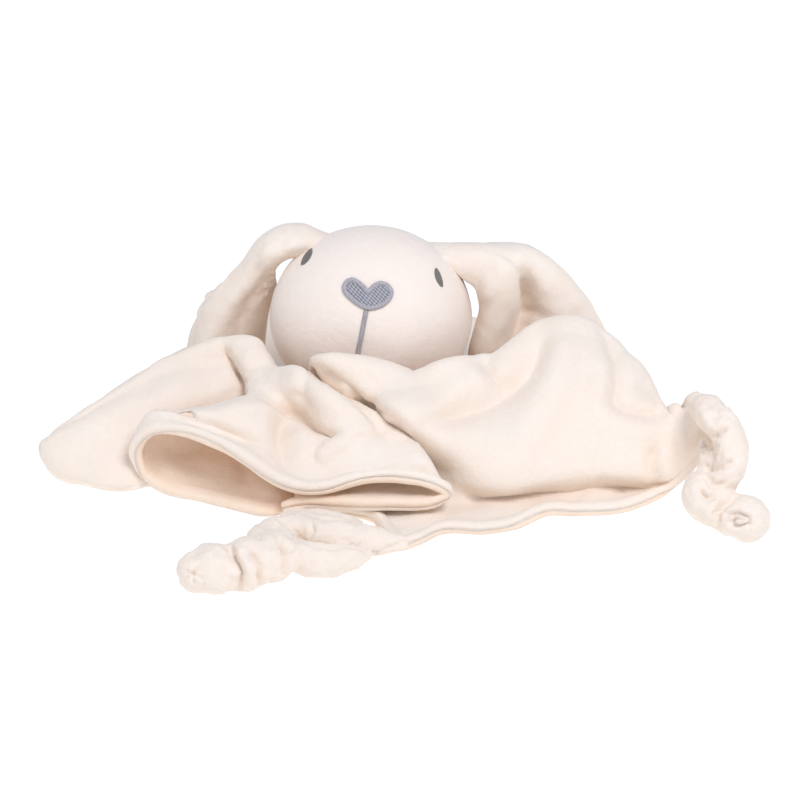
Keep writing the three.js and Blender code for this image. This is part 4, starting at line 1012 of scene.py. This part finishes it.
@dataclass
class Blanket:
    """The velour blanket: two layers that fold together, hemmed and topstitched."""

    wardrobe: Wardrobe
    # Thickness, hem and stitch line, in millimetres.
    half_body: float = 2.15
    half_hem: float = 3.3
    flat_depth: float = 0.5
    hem_round: float = 2.9
    stitch_line: float = 5.8
    stitch_depth: float = 0.5
    stitch_width: float = 2.5
    hem_fade: float = 9.5
    hem_rounds: int = 6
    lining_share: float = 0.12
    lining_most: float = 0.15
    # The hole at the neck, and the foot of the cloth round it.
    hole_radius: float = 15.9
    neck_y: float = 10.0
    foot_radius: float = 38.0
    foot_y: float = 4.0
    foot_share: float = 0.1
    # How fine the grid is, and where its rows and columns stand closer.
    columns: int = 470
    survey: int = 4001
    body_rows: int = 110
    body_end: float = 0.86
    hem_rows: int = 24
    hem_start: float = 0.868
    face_weight: float = 0.6
    front_weight: float = 1.5
    back_weight: float = 0.65
    flat_side: float = 0.335
    # Room between folds: grid steps, what counts as the same fold, how far and how straight ahead
    # another fold matters, and the gap that is kept.
    stride: int = 2
    own_fold: int = 3
    look_around: float = 2.2
    ahead: float = 0.6
    spare: float = 0.05
    least_half: float = 1e-6
    touching: float = 1e-4
    # Small soft ripples, calmer at the hem.
    ripple: float = 1.1
    ripple_scale: float = 0.034
    ripple_calm: float = 12.0
    hem_ripple: float = 0.35

    def places_round(self) -> np.ndarray:
        """Spreads the columns evenly along the hem, denser in its tight folds.

        Returns:
            One place for each column.
        """
        dense = np.linspace(0, 100, self.survey)
        outline = ring_curve(HEM_RING, dense) + self.face_weight * ring_curve(FACE_RING, dense)
        weight = np.where(outline[1:, 1] < 0, self.front_weight, self.back_weight)
        steps = np.linalg.norm(np.diff(outline, axis=0), axis=1) * weight
        length = np.concatenate([[0], np.cumsum(steps)])
        return np.interp(np.linspace(0, length[-1], self.columns + 1), length, dense)[:-1]

    def circle(self, radius: float, centre_y: float, places: np.ndarray) -> np.ndarray:
        """Returns the points of a flat circle round the neck, by place round the blanket.

        Args:
            radius: in millimetres.
            centre_y: its middle.
            places: places round the blanket.

        Returns:
            One point for each place.
        """
        keys = np.array(NECK_ANGLES + [[100, NECK_ANGLES[0][1] - 360]])
        angle = np.radians(np.interp(places, keys[:, 0], keys[:, 1]))
        flat = np.zeros_like(places)
        return np.stack([radius * np.cos(angle), centre_y + radius * np.sin(angle), flat], 1)

    def middle(self) -> np.ndarray:
        """Returns the surface between the layers: rows from the neck to the hem, in millimetres."""
        places = self.places_round()
        knots = [self.circle(self.hole_radius, self.neck_y, places),
                 self.circle(self.foot_radius, self.foot_y, places)]
        knots += [ring_curve(rows, places) for _, rows in RING_PLACES]
        at = np.array([0.0, self.foot_share] + [share for share, _ in RING_PLACES])
        shares = np.concatenate([np.linspace(0, self.body_end, self.body_rows),
                                 np.linspace(self.hem_start, 1, self.hem_rows)])
        grid = curve(np.stack(knots), at, shares)
        grid[:, :, 2] = np.maximum(grid[:, :, 2], 0)
        return grid

    def half_thickness(self, away: np.ndarray) -> np.ndarray:
        """Returns half the thickness of both layers by distance from the hem.

        Args:
            away: millimetres from the hem.

        Returns:
            Millimetres, one for each point.
        """
        fade = np.clip((away - self.stitch_line) / (self.hem_fade - self.stitch_line), 0, 1)
        plump = self.half_hem + (self.half_body - self.half_hem) * fade
        groove = np.exp(-((away - self.stitch_line) / self.stitch_width) ** 2)
        return np.maximum(plump * rounded(away, self.hem_round) - self.stitch_depth * groove, 0)

    def room(self, grid: np.ndarray, normals: np.ndarray, half: np.ndarray) -> np.ndarray:
        """Works out how far each point may swell before it meets another fold.

        Args:
            grid: the surface between the layers.
            normals: the way in which each point swells.
            half: how far it would swell.

        Returns:
            A share of that for each point.
        """
        rows, columns = (np.arange(count) for count in grid.shape[:2])
        part = self.stride
        coarse = self.coarse_room(*(values[::part, ::part] for values in (grid, normals, half)))
        full = np.stack([np.interp(columns, columns[::part], line, period=len(columns))
                         for line in coarse])
        return np.stack([np.interp(rows, rows[::part], line) for line in full.T]).T

    def coarse_room(self, grid: np.ndarray, normals: np.ndarray, half: np.ndarray) -> np.ndarray:
        """Works out the same share for a coarser grid.

        Args:
            grid: the surface.
            normals: the way of each point.
            half: how far it would swell.

        Returns:
            A share for each point.
        """
        rows, columns = grid.shape[:2]
        flat, ways, reaches = grid.reshape(-1, 3), normals.reshape(-1, 3), half.reshape(-1)
        tree = KDTree(len(flat))
        for index, point in enumerate(flat):
            tree.insert(point, index)
        tree.balance()
        share = np.ones(len(flat))
        for index, (point, way, reach) in enumerate(zip(flat, ways, reaches)):
            row, column = divmod(index, columns)
            found = tree.find_range(Vector(point), self.look_around * reach)
            for place, other, distance in found:
                there_row, there_column = divmod(other, columns)
                gap = abs(there_column - column)
                beside = max(abs(there_row - row), min(gap, columns - gap)) <= self.own_fold
                if distance < self.touching or beside:
                    continue
                rise = (place[0] - point[0]) * way[0] + (place[1] - point[1]) * way[1]
                rise += (place[2] - point[2]) * way[2]
                if rise > self.ahead * distance:
                    free = max(rise / 2 - self.spare, 0) / max(reach, self.least_half)
                    share[index] = min(share[index], free)
        return smoothed(share.reshape(rows, columns), 2, True)

    def rippled(self, grid: np.ndarray, normals: np.ndarray, away: np.ndarray) -> np.ndarray:
        """Lays small soft ripples over the folds, calmer at the hem.

        Args:
            grid: the surface between the layers.
            normals: its unit normals.
            away: millimetres from the hem.

        Returns:
            The rippled surface.
        """
        height = ripples(grid.reshape(-1, 3), self.ripple_scale).reshape(away.shape)
        calm = self.hem_ripple + (1 - self.hem_ripple) * np.clip(away / self.ripple_calm, 0, 1)
        return shifted(grid, normals, height * self.ripple * calm)

    def layer(self, name: str, side: int, grid: np.ndarray, half: np.ndarray,
              uv: np.ndarray) -> Object:
        """Makes one layer as a closed sheet.

        Args:
            name: the piece's name.
            side: 1 for the upper layer, -1 for the lower one.
            grid: the surface between the layers.
            half: half the thickness of both layers.
            uv: the way along the hem and from it, for each point.

        Returns:
            The sheet, from its outer face round the hem to its inner face.
        """
        normals = side * even_normals(grid, 2, True)
        outer = shifted(grid, normals, half * self.room(grid, normals, half))
        lining = np.minimum(half * self.lining_share, self.lining_most)
        inner = shifted(grid, normals, lining)
        for row in (0, -1):
            inner[row] = outer[row] = grid[row]
        outer[:, :, 2] = np.maximum(outer[:, :, 2], 0)
        # Every second row from the hem back to the neck.
        back = np.unique(np.concatenate([[0], np.arange(len(grid) - 3, 0, -2)]))[::-1]
        around = np.concatenate([outer, inner[back]])
        around = np.concatenate([around, around[:, :1]], 1) * MM
        map_around = np.concatenate([uv, uv[back]])
        wrap = map_around[:, :1].copy()
        wrap[:, 0, 0] += uv[-1, -1, 0] - uv[-1, -2, 0] + uv[-1, -1, 0]
        return grid_mesh(name, around, np.concatenate([map_around, wrap], 1))

    def build(self) -> None:
        """Builds and dresses both layers."""
        grid = self.middle()
        away = lengths_along(grid[::-1])[::-1]
        half = self.half_thickness(away)
        body = np.where(away > self.stitch_line, self.half_body, self.half_hem)
        grid[:, :, 2] += smoothed(body, self.hem_rounds, True) - self.flat_depth
        normals = even_normals(grid, 1, True)
        grid = self.rippled(grid, normals, away)
        press = PictureFrame().pressed(
            grid.reshape(-1, 3), normals.reshape(-1, 3), CLOTH_CREASES, True)
        grid = shifted(grid, normals, smoothed(press.reshape(away.shape), 1, True))
        uv = np.stack([np.broadcast_to(lengths_along(grid[-1]), away.shape), away], 2) * MM
        upper = self.layer("upper_cloth", 1, grid, half, uv)
        self.wardrobe.dress(upper, VelourFinish(name="blanket_velour", stitched=True))
        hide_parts("blanket_top_cloth")
        lower = self.layer("lower_cloth", -1, grid, half, uv)
        # The lower layer wears a warmer, more orange copy of the same velour: painted shade,
        # standing in for the orange bounce light in the mouths and hollows where this layer shows.
        self.wardrobe.dress(lower, VelourFinish(
            name="inner_velour_painted_shade", light=(0.93, 0.755, 0.6), shade=(0.91, 0.7, 0.53), stitched=True))
        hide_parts("blanket_under_cloth")
        for piece in (upper, lower):
            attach(piece, "blanket")


@dataclass
class NeckGather:
    """The gathered ring of cloth on which the head sits."""

    wardrobe: Wardrobe
    radius: float = 14.4
    wall: float = 3.0
    ripple: float = 0.9
    folds: int = 12
    centre_y: float = 10.0
    bottom: float = 1.9
    top: float = 13.5
    columns: int = 144
    rows: int = 9

    def build(self) -> None:
        """Builds and dresses the ring."""
        angle = np.linspace(0, 2 * math.pi, self.columns + 1)
        heights = np.linspace(self.bottom, self.top, self.rows)
        outside = self.radius + self.ripple * np.cos(self.folds * angle)
        inside = np.full_like(angle, self.radius - self.wall)
        lines = [(outside, height) for height in heights]
        lines += [(inside, height) for height in heights[::-1]] + lines[:1]
        grid = np.stack([np.stack([reach * np.cos(angle), self.centre_y + reach * np.sin(angle),
                                   np.full_like(angle, height)], 1) for reach, height in lines])
        piece = grid_mesh("neck_ring", grid * MM)
        self.wardrobe.dress(piece, VelourFinish())
        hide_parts("neck_gather")
        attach(piece, "blanket")


@dataclass
class Head:
    """The stuffed head, with the seam between its face and back panels."""

    wardrobe: Wardrobe
    half_size: tuple = (48.0, 43.5, 43.5)
    centre_z: float = 54.0
    look_up: float = 24.0
    seam_back: float = 8.0
    seam_depth: float = 0.7
    seam_width: float = 1.6
    lump_scale: float = 2.3
    lump_noise: tuple = (0.8, 2.0, 2)
    lump_depth: float = 0.5
    lump_least: float = -0.4
    lump_share: float = 0.6
    columns: int = 160
    rings: int = 110

    def build(self) -> Object:
        """Builds and dresses the head."""
        mesh_bm = bmesh.new()
        bmesh.ops.create_uvsphere(
            mesh_bm, u_segments=self.columns, v_segments=self.rings, radius=1.0)
        tilt = math.radians(self.look_up)
        facing = Vector((0, -math.cos(tilt), math.sin(tilt)))
        for vert in mesh_bm.verts:
            out = vert.co.normalized()
            place = out * Vector(self.half_size)
            away = place.dot(facing) + self.seam_back
            groove = self.seam_depth * math.exp(-(away / self.seam_width) ** 2)
            lump = self.lump_depth * noise.fractal(out * self.lump_scale, *self.lump_noise)
            place -= out * (groove + max(lump, self.lump_least) * self.lump_share)
            vert.co = (place + Vector((0, 0, self.centre_z))) * MM
        piece = finished("head_plush", mesh_bm)
        self.wardrobe.dress(piece, VelourFinish(
            name="head_velour", light=(0.92, 0.8, 0.695), shade=(0.905, 0.76, 0.645)))
        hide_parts("head_face_panel", "head_back_panel", "head_filling")
        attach(piece, "head")
        return piece


# Places of the embroidery in the picture.
NOSE_OUTLINE = (
    (344.6, 287.2), (346.8, 282.6), (352.2, 280.2), (358.6, 283.0), (363.6, 287.6), (367.8, 292.0),
    (372.0, 288.0), (375.6, 285.2), (380.6, 283.6), (387.0, 286.0), (391.2, 292.4), (388.2, 300.2),
    (380.4, 306.0), (369.4, 308.3), (360.2, 305.0), (351.4, 298.6), (345.8, 292.4),
)
NOSE_MIDDLE = (368.0, 297.0)
MOUTH_LINE = ((366.2, 311.0), (364.0, 322.0), (361.4, 336.0), (358.2, 352.0), (356.2, 364.0))
LEFT_EYE_LINE = ((312.0, 249.0), (307.4, 256.6), (301.8, 265.0))
RIGHT_EYE_LINE = ((435.6, 268.4), (438.4, 277.4), (442.0, 287.0))


@dataclass(frozen=True)
class Stitching:
    """One run of satin stitch: its line in the picture, width in pixels, height in millimetres."""

    name: str
    node: str
    line: tuple
    width: float
    height: float
    closed: bool = False
    pointed: bool = False
    pitch: float = 1.3


@dataclass
class Embroidery:
    """The heart nose, the mouth line and the closed eyes, stitched on the face."""

    wardrobe: Wardrobe
    head: Object
    sunk: float = 0.35
    thread_relief: float = 0.09
    pitch_steps: int = 6
    closed_points: int = 2400
    open_points: int = 900
    ridge_power: float = 0.7
    tuck_power: int = 8
    point_least: float = 0.02
    across: int = 13
    dome: float = 0.55
    rings: int = 34
    around: int = 240

    def __post_init__(self) -> None:
        """Readies the head's surface to be met by rays."""
        mesh_bm = bmesh.new()
        mesh_bm.from_mesh(self.head.data)
        self.face = BVHTree.FromBMesh(mesh_bm)
        mesh_bm.free()

    def on_face(self, spots: np.ndarray, heights: np.ndarray) -> list:
        """Returns the points of the face seen at places of the picture, raised by millimetres.

        Args:
            spots: places of the picture.
            heights: millimetres above the face.

        Returns:
            Points in metres.
        """
        picture = PictureFrame()
        start = Vector(picture.eye) * MM
        points = []
        for spot, height in zip(spots, heights):
            met, normal, _, _ = self.face.ray_cast(start, Vector(picture.ray(*spot)).normalized())
            points.append(tuple(met + normal * (height * MM)))
        return points

    def satin(self, run: Stitching) -> Object:
        """Makes one run of satin stitch as a closed ridge with its threads laid across it.

        Args:
            run: its line, width and height.

        Returns:
            The ridge, as a piece.
        """
        if run.closed:
            line = outline_curve(run.line, np.linspace(0, 100, self.closed_points + 1)[:-1])
        else:
            line = spline_line(np.array(run.line, float), np.linspace(0, 1, self.open_points))
        reach = lengths_along(line)
        count = int(reach[-1] / run.pitch * self.pitch_steps)
        at = np.linspace(0, reach[-1], count)
        line = np.stack([np.interp(at, reach, line[:, i]) for i in range(2)], 1)
        if run.closed:
            heading = np.roll(line, -1, 0) - np.roll(line, 1, 0)
        else:
            heading = np.gradient(line, axis=0)
        heading = unit(heading)
        aside = np.stack([-heading[:, 1], heading[:, 0]], 1)
        half = np.full(count, run.width / 2)
        if run.pointed:
            bow = np.sin(math.pi * np.linspace(0, 1, count))
            half *= np.sqrt(np.maximum(bow, self.point_least))
        thread = self.thread_relief * np.sin(2 * math.pi * at / run.pitch)
        rows = []
        for angle in np.linspace(0, math.pi, self.across):
            ridge = run.height * math.sin(angle) ** self.ridge_power * (1 + thread / run.height)
            rise = ridge - self.sunk * (math.cos(angle) ** self.tuck_power)
            rows.append(self.on_face(line + aside * (half * math.cos(angle))[:, None], rise))
        under = self.on_face(line, np.full(count, -self.sunk))
        grid = np.array(rows + [under] + rows[:1])
        if run.closed:
            grid = np.concatenate([grid, grid[:, :1]], 1)
        return grid_mesh(run.name, grid)

    def heart(self) -> Object:
        """Makes the woven filling of the nose: a low dome inside the outline."""
        outline = outline_curve(NOSE_OUTLINE, np.linspace(0, 100, self.around + 1))
        middle = np.array(NOSE_MIDDLE)
        shares = [step / self.rings for step in range(self.rings + 1)]
        layers = [(share, self.dome) for share in shares] + [(1, -self.sunk), (0, -self.sunk)]
        rings = [self.on_face(middle + (outline - middle) * share, np.full(len(outline), height))
                 for share, height in layers]
        return grid_mesh("nose_filling", np.array(rings))

    def build(self) -> None:
        """Stitches the face."""
        border = ThreadFinish("border_thread", "thread", (0.54, 0.5, 0.515), (0.45, 0.415, 0.43),
                              5200.0, 1.9)
        fill = ThreadFinish("nose_thread", "thread", (0.47, 0.45, 0.47), (0.21, 0.2, 0.21),
                            2900.0, 0.9)
        mouth = ThreadFinish("mouth_thread", "thread", (0.5, 0.46, 0.45), (0.42, 0.385, 0.375),
                             5200.0, 1.57)
        eye = ThreadFinish("eye_thread", "dark_thread", (0.26, 0.225, 0.2), (0.19, 0.165, 0.145),
                           5200.0, 0.8)
        left_eye = Stitching("left_eye_stitch", "left_eye", LEFT_EYE_LINE, 7.0, 0.6, pointed=True)
        right_eye = Stitching("right_eye_stitch", "right_eye", RIGHT_EYE_LINE, 6.6, 0.6,
                              pointed=True)
        runs = (
            (Stitching("nose_edge", "nose_border", NOSE_OUTLINE, 5.0, 1.5, closed=True), border),
            (Stitching("mouth_stitch", "mouth_line", MOUTH_LINE, 5.2, 1.1), mouth),
            (left_eye, eye), (right_eye, eye),
        )
        pieces = [(self.satin(run), run.node, finish) for run, finish in runs]
        for piece, node, finish in pieces + [(self.heart(), "nose_fill", fill)]:
            self.wardrobe.dress(piece, finish)
            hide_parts(node)
            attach(piece, "head")


@dataclass
class Ear:
    """A drooping ear: two panels sewn together along a rounded edge."""

    wardrobe: Wardrobe
    side: Side
    half: float = 1.9
    edge_round: float = 2.6
    lining_share: float = 0.08
    ripple: float = 0.9
    ripple_scale: float = 0.045
    ripple_calm: float = 8.0
    rows: int = 110
    columns: int = 90
    root: tuple = (0.021, 0.01, 0.09)
    free: tuple = (0.04, 0.01, 0.09)

    def keys(self) -> np.ndarray:
        """Returns the ear's rows of points in millimetres."""
        if self.side is Side.LEFT:
            return np.array(LEFT_EAR_ROWS, float)
        picture = PictureFrame()
        return np.array([[picture.place(*place) for place in row] for row in RIGHT_EAR_PLACES])

    def edge_distance(self, grid: np.ndarray) -> np.ndarray:
        """Returns how far each point lies from the sewn edge, along the grid's lines.

        Args:
            grid: the surface between the panels.

        Returns:
            Millimetres, one for each point.
        """
        left = lengths_along(grid.transpose(1, 0, 2)).T
        tip = lengths_along(grid[::-1])[::-1]
        return np.minimum(np.minimum(left, left[:, -1:] - left), tip)

    def middle(self) -> tuple:
        """Returns the surface between the panels, its normals and its distance from the edge."""
        shares = (np.linspace(0, 1, count) for count in (self.rows, self.columns))
        grid = spline_sheet(self.keys(), *shares)
        normals = even_normals(grid, 2, False)
        away = self.edge_distance(grid)
        height = ripples(grid.reshape(-1, 3), self.ripple_scale).reshape(away.shape)
        calm = np.clip(away / self.ripple_calm, 0, 1)
        grid = shifted(grid, normals, height * self.ripple * calm)
        press = PictureFrame().pressed(
            grid.reshape(-1, 3), normals.reshape(-1, 3), EAR_CREASES, True)
        grid = shifted(grid, normals, smoothed(press.reshape(away.shape), 1, False))
        return grid, normals, away

    def build(self) -> None:
        """Builds and dresses both panels."""
        grid, normals, away = self.middle()
        half = self.half * rounded(away, self.edge_round)
        ear = f"{self.side.value}_ear"
        for panel, side in (("front", 1), ("back", -1)):
            outer = shifted(grid, side * normals, half)
            inner = shifted(grid, side * normals, half * self.lining_share)
            inner[0] = outer[0] = grid[0]
            around = np.concatenate([outer, inner[:, -2::-1]], 1)
            around = np.concatenate([around, around[:, :1]], 1)
            piece = grid_mesh(f"{ear}_{panel}_velour", around * MM)
            self.wardrobe.dress(piece, VelourFinish(name="ear_velour"))
            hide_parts(f"{ear}_{panel}_panel")
            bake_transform(piece)


@dataclass
class Tail:
    """A knotted corner of the blanket, built from soft strands that melt into one another."""

    wardrobe: Wardrobe
    name: str
    strands: list
    start: tuple
    end: tuple
    lines: tuple = ()
    sides: int = 28
    steps: int = 9
    caps: tuple = (0.98, 0.86, 0.6, 0.3)
    upright: float = 0.2
    voxel: float = 0.0008
    soften: float = 0.5
    soften_rounds: int = 3
    ripple: float = 0.0007
    ripple_scale: float = 160.0
    floor_gap: float = 0.0002

    def strand(self, mesh_bm: BMesh, rows: list) -> None:
        """Adds one strand: rings along a smooth line, bridged, with round ends.

        Args:
            mesh_bm: the bmesh that takes it.
            rows: its points and radii in millimetres.
        """
        count = self.steps * (len(rows) - 1) + 1
        line = spline_line(np.array(rows, float), np.linspace(0, 1, count))
        centre, radius = line[:, :3], line[:, 3]
        heading = unit(np.gradient(centre, axis=0))
        stops = [(0, -cap) for cap in self.caps] + [(index, 0.0) for index in range(count)]
        stops += [(count - 1, cap) for cap in self.caps[::-1]]
        rings = []
        for index, cap in stops:
            tangent = Vector(heading[index])
            aside = Vector((0, 0, 1)).cross(tangent)
            if aside.length <= self.upright:
                aside = Vector((0, 1, 0)).cross(tangent)
            aside.normalize()
            lift = tangent.cross(aside)
            middle = Vector(centre[index]) + tangent * (cap * radius[index])
            spread = radius[index] * math.sqrt(1 - cap * cap)
            turns = (2 * math.pi * side / self.sides for side in range(self.sides + 1))
            rings.append([tuple(middle + aside * (spread * math.cos(turn))
                                + lift * (spread * math.sin(turn))) for turn in turns])
        part = grid_bmesh(np.array(rings) * MM)
        ends = [edge for edge in part.edges if edge.is_boundary]
        bmesh.ops.holes_fill(part, edges=ends, sides=0)
        bmesh.ops.recalc_face_normals(part, faces=part.faces)
        mesh = bpy.data.meshes.new("strand")
        part.to_mesh(mesh)
        part.free()
        mesh_bm.from_mesh(mesh)
        bpy.data.meshes.remove(mesh)

    def crumple(self, piece: Object) -> None:
        """Presses soft creases into the cloth and keeps it above the floor.

        Args:
            piece: the knotted corner.
        """
        mesh_bm = bmesh.new()
        mesh_bm.from_mesh(piece.data)
        mesh_bm.normal_update()
        places = np.array([tuple(vert.co) for vert in mesh_bm.verts])
        normals = np.array([tuple(vert.normal) for vert in mesh_bm.verts])
        press = PictureFrame().pressed(places / MM, normals, self.lines, False)
        rises = ripples(places, self.ripple_scale) * self.ripple + press * MM
        for vert, rise in zip(mesh_bm.verts, rises):
            vert.co += vert.normal * rise
            vert.co.z = max(vert.co.z, self.floor_gap)
        mesh_bm.to_mesh(piece.data)
        mesh_bm.free()

    def build(self) -> None:
        """Builds and dresses the knotted corner."""
        mesh_bm = bmesh.new()
        for rows in self.strands:
            self.strand(mesh_bm, rows)
        piece = finished(f"{self.name}_velour", mesh_bm)
        join = piece.modifiers.new("join", "REMESH")
        join.mode = "VOXEL"
        join.voxel_size = self.voxel
        soften = piece.modifiers.new("soften", "SMOOTH")
        soften.factor = self.soften
        soften.iterations = self.soften_rounds
        baked(piece)
        self.crumple(piece)
        self.wardrobe.dress(piece, VelourFinish(name="tail_velour"))
        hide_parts(self.name)
        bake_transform(piece)


@dataclass
class Studio:
    """The pale floor, the soft light and the camera of the photograph."""

    wardrobe: Wardrobe
    sensor: float = 36.0
    floor_size: float = 4.0
    light_colour: tuple = (0.93, 1.0, 1.13)
    aim: tuple = (0, -0.02, 0.04)
    room_colour: tuple = (0.92, 1.0, 1.14)
    room_glow: float = 0.49

    def hang(self, name: str, data: ID, place: tuple, turn: tuple) -> Object:
        """Puts a camera or a light in its place, turned by three angles.

        Args:
            name: the object's name.
            data: the camera or light.
            place: in metres.
            turn: three angles.

        Returns:
            The new object.
        """
        item = bpy.data.objects.new(name, data)
        item.location = place
        item.rotation_euler = turn
        bpy.context.scene.collection.objects.link(item)
        return item

    def camera(self) -> None:
        """Sets the camera where the photograph was taken from."""
        picture = PictureFrame()
        data = bpy.data.cameras.new("camera")
        data.sensor_width = self.sensor
        data.lens = self.sensor * picture.focal_pixels / (2 * picture.centre)
        turn = (math.radians(90 - picture.elevation), 0, 0)
        bpy.context.scene.camera = self.hang("camera", data, Vector(picture.eye) * MM, turn)

    def floor(self) -> None:
        """Lays the floor."""
        mesh_bm = bmesh.new()
        bmesh.ops.create_grid(mesh_bm, x_segments=1, y_segments=1, size=self.floor_size)
        item = finished("floor", mesh_bm)
        item.data.materials.append(self.wardrobe.floor(FloorFinish()))

    def light(self, name: str, place: tuple, size: float, power: float) -> None:
        """Hangs one soft light that looks at the toy.

        Args:
            name: the light's name.
            place: in metres.
            size: its diameter in metres.
            power: in watts.
        """
        data = bpy.data.lights.new(name, "AREA")
        data.shape = "DISK"
        data.size = size
        data.energy = power
        data.color = self.light_colour
        aim = Vector(self.aim) - Vector(place)
        self.hang(name, data, place, aim.to_track_quat("-Z", "Y").to_euler())

    def world(self) -> None:
        """Sets the even white surroundings."""
        world = bpy.data.worlds.new("white_room")
        bpy.context.scene.world = world
        world.use_nodes = True
        back = world.node_tree.nodes["Background"]
        back.inputs["Color"].default_value = (*self.room_colour, 1.0)
        back.inputs["Strength"].default_value = self.room_glow

    def build(self) -> None:
        """Builds the whole studio."""
        self.camera()
        self.floor()
        self.world()
        self.light("key", (0.38, -0.62, 0.98), 0.5, 7.4)
        self.light("fill", (-0.8, -0.5, 0.6), 0.9, 2.2)
        bpy.context.scene.view_settings.view_transform = "Standard"
        bpy.context.scene.view_settings.look = "None"


def main() -> None:
    """Builds the comforter piece by piece."""
    logging.basicConfig(level=logging.INFO)
    wardrobe = Wardrobe()
    Studio(wardrobe).build()
    Blanket(wardrobe).build()
    NeckGather(wardrobe).build()
    head = Head(wardrobe).build()
    Embroidery(wardrobe, head).build()
    for side in Side:
        Ear(wardrobe, side).build()
    corners = (
        Tail(wardrobe, "front_left_tail", FRONT_LEFT_STRANDS, start=(0.016, -0.14, 0.006),
             end=(0.0, -0.142, 0.006), lines=FRONT_LEFT_CREASES),
        Tail(wardrobe, "right_tail", RIGHT_STRANDS, start=(0.15, -0.076, 0.045),
             end=(0.15, -0.092, 0.045), lines=RIGHT_CREASES),
        Tail(wardrobe, "back_left_tail", BACK_LEFT_STRANDS, start=(-0.086, 0.098, 0.008),
             end=(-0.086, 0.115, 0.008)),
        Tail(wardrobe, "back_right_tail", BACK_RIGHT_STRANDS, start=(0.075, 0.112, 0.008),
             end=(0.075, 0.13, 0.008)),
    )
    for corner in corners:
        corner.build()


if __name__ == "__main__":
    main()
